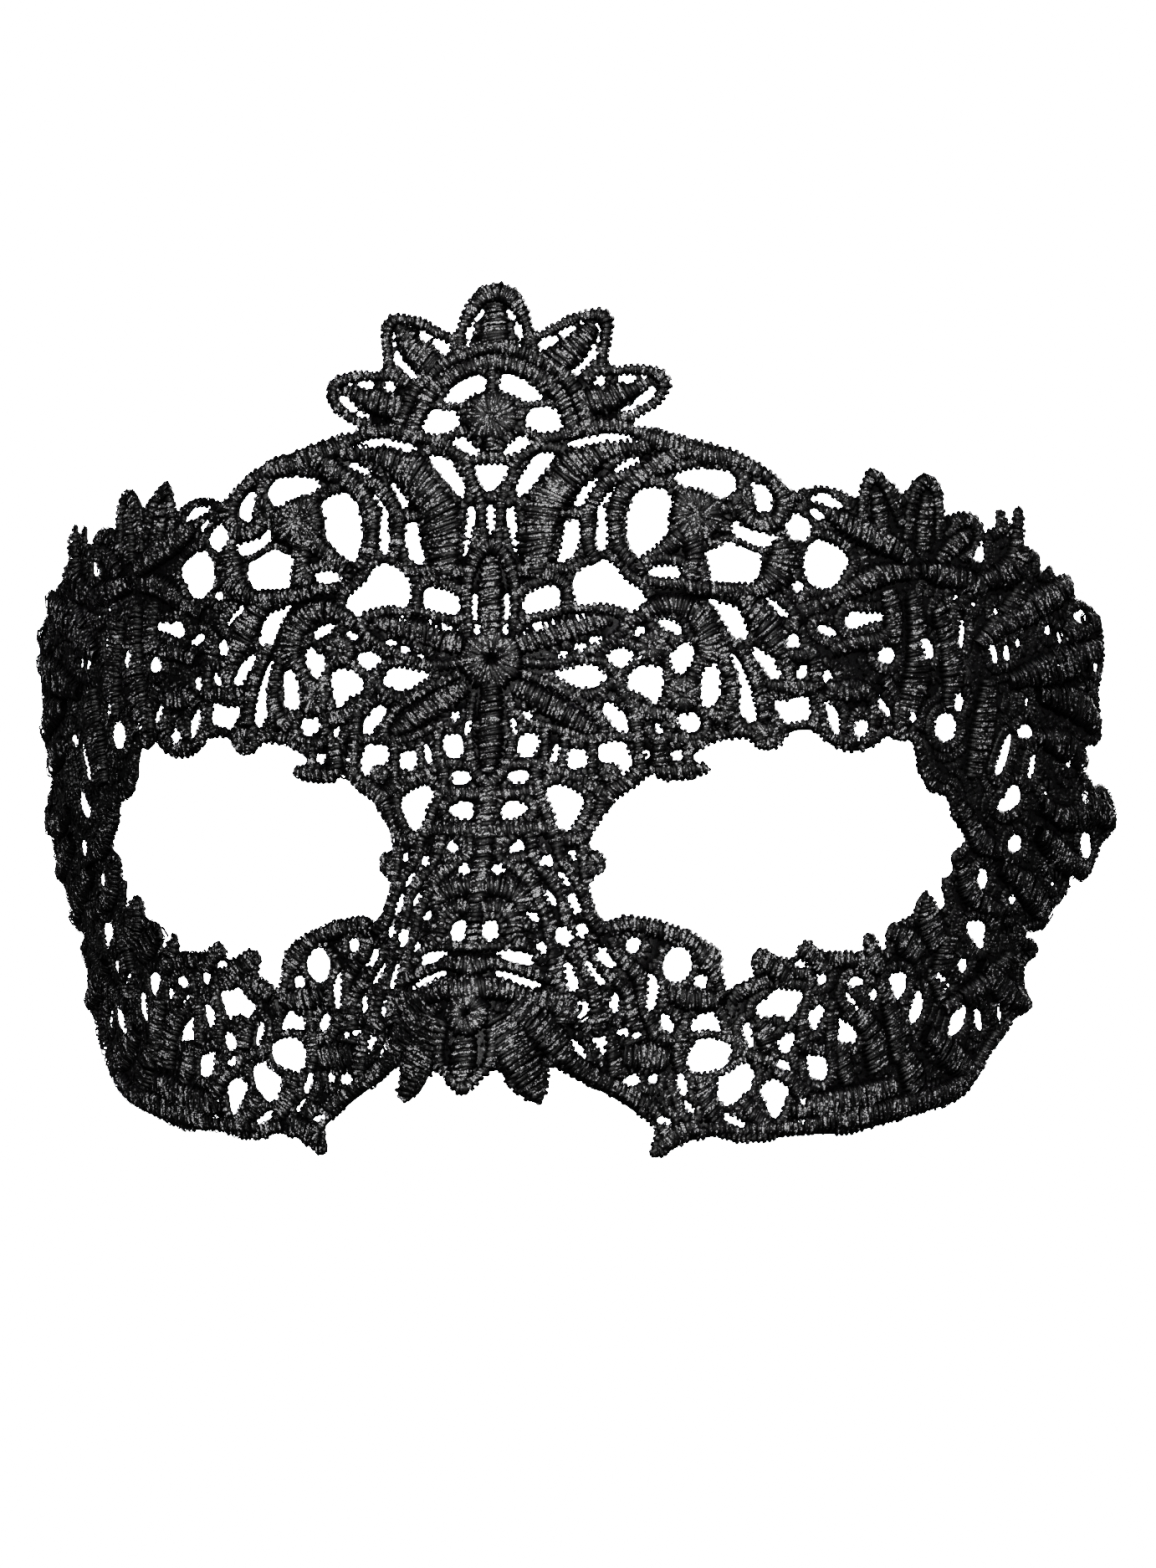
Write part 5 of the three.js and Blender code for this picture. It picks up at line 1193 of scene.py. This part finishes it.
@dataclass
class LaceGround:
    """The thin embroidered ground that the stitches are worked on, in millimetres."""

    edges: EdgeField
    inset: float = 0.12
    low: float = 0.45
    high: float = 0.78
    spacing: float = 2.4
    grid_across: tuple[float, float] = (-108, 109)
    grid_up: tuple[float, float] = (-64, 62)
    grid_margin: float = 0.6
    slack: float = 0.05
    least_points: int = 4
    merge: float = 1e-5
    least_area: float = 1e-4

    def flat_faces(self) -> tuple[np.ndarray, np.ndarray]:
        """Triangles that fill the lace between its edges.

        Returns:
            Flat points, and the corners of each triangle.
        """
        points, seams = [], []
        for line in self.edges.contours(self.inset):
            kept = line[::2]
            if len(kept) < self.least_points:
                continue
            start = len(points)
            points += kept.tolist()
            seams += [(start + k, start + (k + 1) % len(kept)) for k in range(len(kept))]
        columns, rows = (np.arange(*ends, self.spacing) for ends in (self.grid_across, self.grid_up))
        grid = np.stack(np.meshgrid(columns, rows), -1).reshape(-1, 2)
        points += grid[self.edges.at(grid) > self.inset + self.grid_margin].tolist()
        filled = geometry.delaunay_2d_cdt([Vector(p) for p in points], seams, [], 0, self.merge)
        verts = np.array([v[:] for v in filled[0]])
        faces = np.array(filled[2])
        corners = verts[faces]
        area = np.abs(np.cross(corners[:, 1] - corners[:, 0], corners[:, 2] - corners[:, 0]))
        keep = (self.edges.at(corners.mean(axis=1)) > self.inset - self.slack) & (area > self.least_area)
        return verts, faces[keep]

    def walls(self, verts: np.ndarray, faces: np.ndarray) -> tuple[np.ndarray, np.ndarray]:
        """A closed plate from flat triangles.

        Args:
            verts: flat points.
            faces: corners of the triangles that are wanted.

        Returns:
            Points with heights, and triangles.
        """
        used, faces = np.unique(faces, return_inverse=True)
        faces = faces.reshape(-1, 3)
        flat = verts[used]
        corners = flat[faces]
        turned = np.cross(corners[:, 1] - corners[:, 0], corners[:, 2] - corners[:, 0]) < 0
        faces[turned] = faces[turned][:, ::-1]
        count = len(flat)
        top = np.column_stack([flat, np.full(count, self.high)])
        bottom = np.column_stack([flat, np.full(count, self.low)])
        rim = np.vstack([faces[:, [0, 1]], faces[:, [1, 2]], faces[:, [2, 0]]])
        keys = {tuple(edge) for edge in rim.tolist()}
        open_edges = np.array([edge for edge in keys if (edge[1], edge[0]) not in keys])
        a, b = open_edges[:, 0], open_edges[:, 1]
        sides = np.vstack([np.column_stack([a, a + count, b]), np.column_stack([b, a + count, b + count])])
        return np.vstack([top, bottom]), np.vstack([faces, faces[:, ::-1] + count, sides])


@dataclass
class SewnStitches:
    """All stitches as loops of points, still flat, with what the thread material reads."""

    points: np.ndarray
    # Shine and crest set the painted glints: how bright for each stitch, and where on its loop
    shine: np.ndarray
    faces: np.ndarray
    crest: np.ndarray
    side: np.ndarray

    def values(self, chosen: np.ndarray, plate: int, glint_strength: float) -> tuple[np.ndarray, np.ndarray, np.ndarray]:
        """Attributes of one piece, whose plate comes before its stitches.

        Args:
            chosen: which stitches are the piece's.
            plate: how many points its plate has.
            glint_strength: the painted glint strength of the plate.

        Returns:
            Crest and painted glint strength of each point, and its place along, across and from thread to thread.
        """
        count, per_loop = int(chosen.sum()), len(self.crest)
        crest = np.concatenate([np.zeros(plate), np.tile(self.crest, count)])
        glint_strengths = np.concatenate([np.full(plate, glint_strength), np.repeat(self.shine[chosen], per_loop)])
        flat = self.points[chosen]
        along = np.linalg.norm(flat - flat[:, :1], axis=2)
        thread = np.repeat(np.arange(count) * THREAD_STEP, per_loop)
        strands = np.column_stack([along.ravel(), np.tile(self.side, count), thread])
        return crest, glint_strengths, np.vstack([np.zeros((plate, 3)), strands])


@dataclass
class LaceMask:
    """The whole mask: ground and stitches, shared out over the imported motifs."""

    form: HeadForm = field(default_factory=HeadForm)
    chart: Chart = field(default_factory=Chart)
    finish: BlackThread = field(default_factory=BlackThread)
    edge_rows: tuple[tuple[float, float], ...] = ((0.85, 1.7), (0.5, 1.1), (0.25, 0.7))  # from the edge, wide
    fill_levels: tuple[float, ...] = (2.3, 3.8, 5.3, 6.8, 1.8, 3.1, 4.6, 6.1)
    fill_width: float = 1.5
    softening: tuple[int, ...] = (1, 2, 3, 2, 1)
    shortest_row: float = 2.5
    lift: float = 0.7
    tilt_spread: float = 0.1
    # Painted shade: the sides of each thread get this share of its crest, and so dimmer glints
    side_crest: float = 0.55
    ground_glint_strength: float = 0.2

    def motifs(self) -> tuple[BVHTree, np.ndarray, list[str]]:
        """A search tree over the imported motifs.

        Returns:
            The tree, the motif number of each of its faces, and the motif names.
        """
        names = sorted(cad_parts)
        verts, faces, owner = [], [], []
        for number, name in enumerate(names):
            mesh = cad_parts[name].data
            start = len(verts)
            verts += [v.co[:] for v in mesh.vertices]
            for polygon in mesh.polygons:
                faces.append([start + v for v in polygon.vertices])
                owner.append(number)
        return BVHTree.FromPolygons(verts, faces), np.array(owner), names

    def stitches(self, edges: EdgeField) -> StitchRows:
        """Lays all satin rows on the chart.

        Args:
            edges: the distances to the edges of the lace.

        Returns:
            The filled rows.
        """
        rows = StitchRows(edges)
        for layer, stroke in self.chart.strokes():
            rows.lay(rows.smooth(np.array(stroke, float)), layer, skip_covered=False)
        bands = [(level, Layer.EDGE, width) for level, width in self.edge_rows]
        bands += [(level, Layer.FILL, self.fill_width) for level in self.fill_levels]
        weights = np.array(self.softening) / sum(self.softening)
        for level, layer, width in bands:
            for line in edges.contours(level):
                soft = sum(w * np.roll(line, k - len(weights) // 2, axis=0) for k, w in enumerate(weights))
                closed = np.vstack([soft, soft[:1]])
                if np.hypot(*np.diff(closed, axis=0).T).sum() > self.shortest_row:
                    rows.lay(np.column_stack([closed, np.full(len(closed), width)]), layer, skip_covered=True)
        return rows

    def places(self, rows: StitchRows) -> bpy.types.Object:
        """Turns stitch rows into points with a turn and a stretch.

        Args:
            rows: the laid stitches.

        Returns:
            An object with one point for each stitch.
        """
        centre, half, height, breadth, _ = rows.rows()
        mesh = bpy.data.meshes.new("stitch_places")
        mesh.from_pydata(np.column_stack([centre, np.full(len(centre), self.lift)]).tolist(), [], [])
        turn = rows.random.normal(0, self.tilt_spread, (len(centre), 3))
        turn[:, 2] = np.arctan2(half[:, 1], half[:, 0])
        stretch = np.column_stack([np.hypot(*half.T), breadth, height])
        for name, values in (("turn", turn), ("stretch", stretch)):
            mesh.attributes.new(name, "FLOAT_VECTOR", "POINT").data.foreach_set("vector", values.ravel())
        return linked(bpy.data.objects.new("stitch_places", mesh))

    def sewn(self, rows: StitchRows, thread: bpy.types.Material) -> SewnStitches:
        """Repeats the thread loop on every place of the rows.

        Args:
            rows: the laid stitches.
            thread: the material of the loops.

        Returns:
            The stitches, still flat.
        """
        places, loop = self.places(rows), linked(ThreadLoop().shape())
        mesh = StitchNodes().repeat(places, loop, thread)
        corners = loop.data.vertices
        flat = np.zeros(len(mesh.vertices) * 3)
        mesh.vertices.foreach_get("co", flat)
        # Painted highlight: crest is the height off the middle of each loop, less on the sides; glints are painted by
        # it
        stitches = SewnStitches(
            points=flat.reshape(-1, len(corners), 3),
            shine=rows.rows()[-1],
            faces=np.array([list(p.vertices) for p in loop.data.polygons]),
            crest=np.array([abs(v.co.z) * (self.side_crest if v.co.y else 1.0) for v in corners]),
            side=np.array([v.co.y for v in corners]))
        for helper in (places, loop):
            bpy.data.objects.remove(helper)
        return stitches

    def build(self) -> list[bpy.types.Object]:
        """Builds the lace and hands each motif to the frame.

        Returns:
            The finished pieces.
        """
        edges = EdgeField(self.chart.outlines())
        thread = self.finish.material()
        stitches = self.sewn(self.stitches(edges), thread)
        bent = self.form.bend(stitches.points.reshape(-1, 3)).reshape(stitches.points.shape)
        ground = LaceGround(edges)
        verts, faces = ground.flat_faces()
        middles = np.column_stack([verts[faces].mean(axis=1), np.full(len(faces), ground.high)])
        tree, owner, names = self.motifs()
        stitch_owner, face_owner = (np.array([owner[tree.find_nearest(Vector(p))[2]] for p in points])
                                    for points in (bent.mean(axis=1), self.form.bend(middles)))
        LOG.info("stitches %d, ground triangles %d", len(bent), len(faces))
        pieces = []
        for number, name in enumerate(names):
            chosen = stitch_owner == number
            loops = bent[chosen]
            plate, sides = ground.walls(verts, faces[face_owner == number])
            shifts = len(plate) + np.arange(len(loops))[:, None, None] * len(stitches.crest)
            quads = (stitches.faces[None] + shifts).reshape(-1, 4)
            mesh = bpy.data.meshes.new(f"{name}_lace")
            points = np.vstack([self.form.bend(plate), loops.reshape(-1, 3)])
            mesh.from_pydata(points.tolist(), [], sides.tolist() + quads.tolist())
            mesh.shade_smooth()
            mesh.materials.append(thread)
            # Crest and glint strength tell the material where to paint glints and how bright
            crest, glint_strength, strands = stitches.values(chosen, len(plate), self.ground_glint_strength)
            for label, values in (("crest", crest), ("glint_strength", glint_strength)):
                mesh.attributes.new(label, "FLOAT", "POINT").data.foreach_set("value", values)
            mesh.attributes.new("thread", "FLOAT_VECTOR", "POINT").data.foreach_set("vector", strands.ravel())
            piece = linked(bpy.data.objects.new(f"{name}_lace", mesh))
            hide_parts(name)
            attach(piece, "root")
            LOG.info("%s: %d stitches", piece.name, len(loops))
            pieces.append(piece)
        return pieces


@dataclass(frozen=True)
class SoftLight:
    """One soft square light, in metres and watts."""

    name: str
    place: tuple[float, float, float]
    aim: tuple[float, float, float]
    size: float
    watts: float

    def build(self) -> bpy.types.Object:
        """Adds the light to the scene.

        Returns:
            The light.
        """
        data = bpy.data.lights.new(self.name, "AREA")
        data.size, data.energy = self.size, self.watts
        lamp = bpy.data.objects.new(self.name, data)
        lamp.location = self.place
        lamp.rotation_euler = (Vector(self.aim) - Vector(self.place)).to_track_quat("-Z", "Y").to_euler()
        return linked(lamp)


@dataclass
class Studio:
    """The pale paper, the soft lights and the camera."""

    turn: float = 11.49
    tilt: float = -1.07
    roll: float = 0.22
    range_mm: float = 700.0
    across_mm: float = 12.09
    up_mm: float = -11.01
    focal_px: float = 5880.0
    image_height_px: float = 1874.0
    sensor_mm: float = 36.0
    clip: tuple[float, float] = (0.01, 20.0)
    floor_height: float = -0.12
    floor_middle: float = 0.4
    floor_radius: float = 1.6
    floor_bend: float = 0.5
    bend_points: int = 9
    floor_top: float = 2.6
    around: int = 48
    world_strength: float = 0.08
    lights: tuple[SoftLight, ...] = (
        SoftLight("key_light", (0.1, -1.15, 0.6), (0, 0, 0), 0.22, 18.5),
        SoftLight("fill_light", (0.5, -1, -0.1), (0, 0, 0), 0.3, 1.5),
        SoftLight("back_light", (0.5, 1.1, 0.7), (0, 0.04, 0), 0.3, 16),
        SoftLight("side_light", (1.1, 0.1, 0.3), (0, 0.03, 0), 0.3, 0.6),
    )

    def camera(self) -> bpy.types.Object:
        """Sets the camera at the photograph's place.

        Returns:
            The camera.
        """
        t, p, r = (math.radians(v) for v in (self.turn, self.tilt, self.roll))
        right = Vector((math.cos(t), math.sin(t), 0))
        back = Vector((math.sin(t) * math.cos(p), -math.cos(t) * math.cos(p), math.sin(p)))
        up = Vector((-math.sin(t) * math.sin(p), math.cos(t) * math.sin(p), math.cos(p)))
        right, up = right * math.cos(r) - up * math.sin(r), right * math.sin(r) + up * math.cos(r)
        place = (back * self.range_mm + right * self.across_mm + up * self.up_mm) * MM
        data = bpy.data.cameras.new("camera")
        data.sensor_fit = "VERTICAL"
        data.sensor_height = self.sensor_mm
        data.lens = self.focal_px / self.image_height_px * self.sensor_mm
        data.clip_start, data.clip_end = self.clip
        camera = linked(bpy.data.objects.new("camera", data))
        camera.matrix_world = Matrix((
            (right.x, up.x, back.x, place.x), (right.y, up.y, back.y, place.y),
            (right.z, up.z, back.z, place.z), (0, 0, 0, 1)))
        bpy.context.scene.camera = camera
        return camera

    def floor(self) -> bpy.types.Object:
        """White paper that lies under the mask and curves up all round it.

        Returns:
            The stage object.
        """
        bend = [(self.floor_radius + self.floor_bend * math.sin(a), self.floor_bend - self.floor_bend * math.cos(a))
                for a in np.linspace(0, math.pi / 2, self.bend_points)]
        profile = [(self.floor_middle, 0.0), *bend, (self.floor_radius + self.floor_bend, self.floor_top)]
        verts, faces = [(0.0, 0.0, self.floor_height)], []
        for radius, height in profile:
            for step in range(self.around):
                angle = 2 * math.pi * step / self.around
                verts.append((radius * math.cos(angle), radius * math.sin(angle), height + self.floor_height))
        for step in range(self.around):
            ahead = (step + 1) % self.around
            faces.append((0, 1 + step, 1 + ahead))
            for ring in range(len(profile) - 1):
                low, high = 1 + ring * self.around, 1 + (ring + 1) * self.around
                faces.append((low + step, high + step, high + ahead, low + ahead))
        mesh = bpy.data.meshes.new("paper_sweep")
        mesh.from_pydata(verts, [], faces)
        mesh.shade_smooth()
        mesh.materials.append(PaleFloor().material())
        paper = linked(bpy.data.objects.new("paper_sweep", mesh))
        paper.visible_diffuse = False
        paper.visible_glossy = False
        return paper

    def build(self) -> None:
        """Sets up the camera, the paper, the world and the lights."""
        self.camera()
        self.floor()
        world = bpy.data.worlds.new("white_room")
        world.use_nodes = True
        world.node_tree.nodes["Background"].inputs["Color"].default_value = (1, 1, 1, 1)
        world.node_tree.nodes["Background"].inputs["Strength"].default_value = self.world_strength
        bpy.context.scene.world = world
        for light in self.lights:
            LOG.info("light: %s", light.build().name)


def linked(thing: bpy.types.Object) -> bpy.types.Object:
    """Puts an object in the scene and returns it."""
    bpy.context.scene.collection.objects.link(thing)
    return thing


def main() -> None:
    """Builds the studio and the mask."""
    logging.basicConfig(level=logging.INFO, format="%(name)s: %(message)s")
    Studio().build()
    for piece in LaceMask().build():
        LOG.info("%s: %d faces", piece.name, len(piece.data.polygons))


if __name__ == "__main__":
    main()
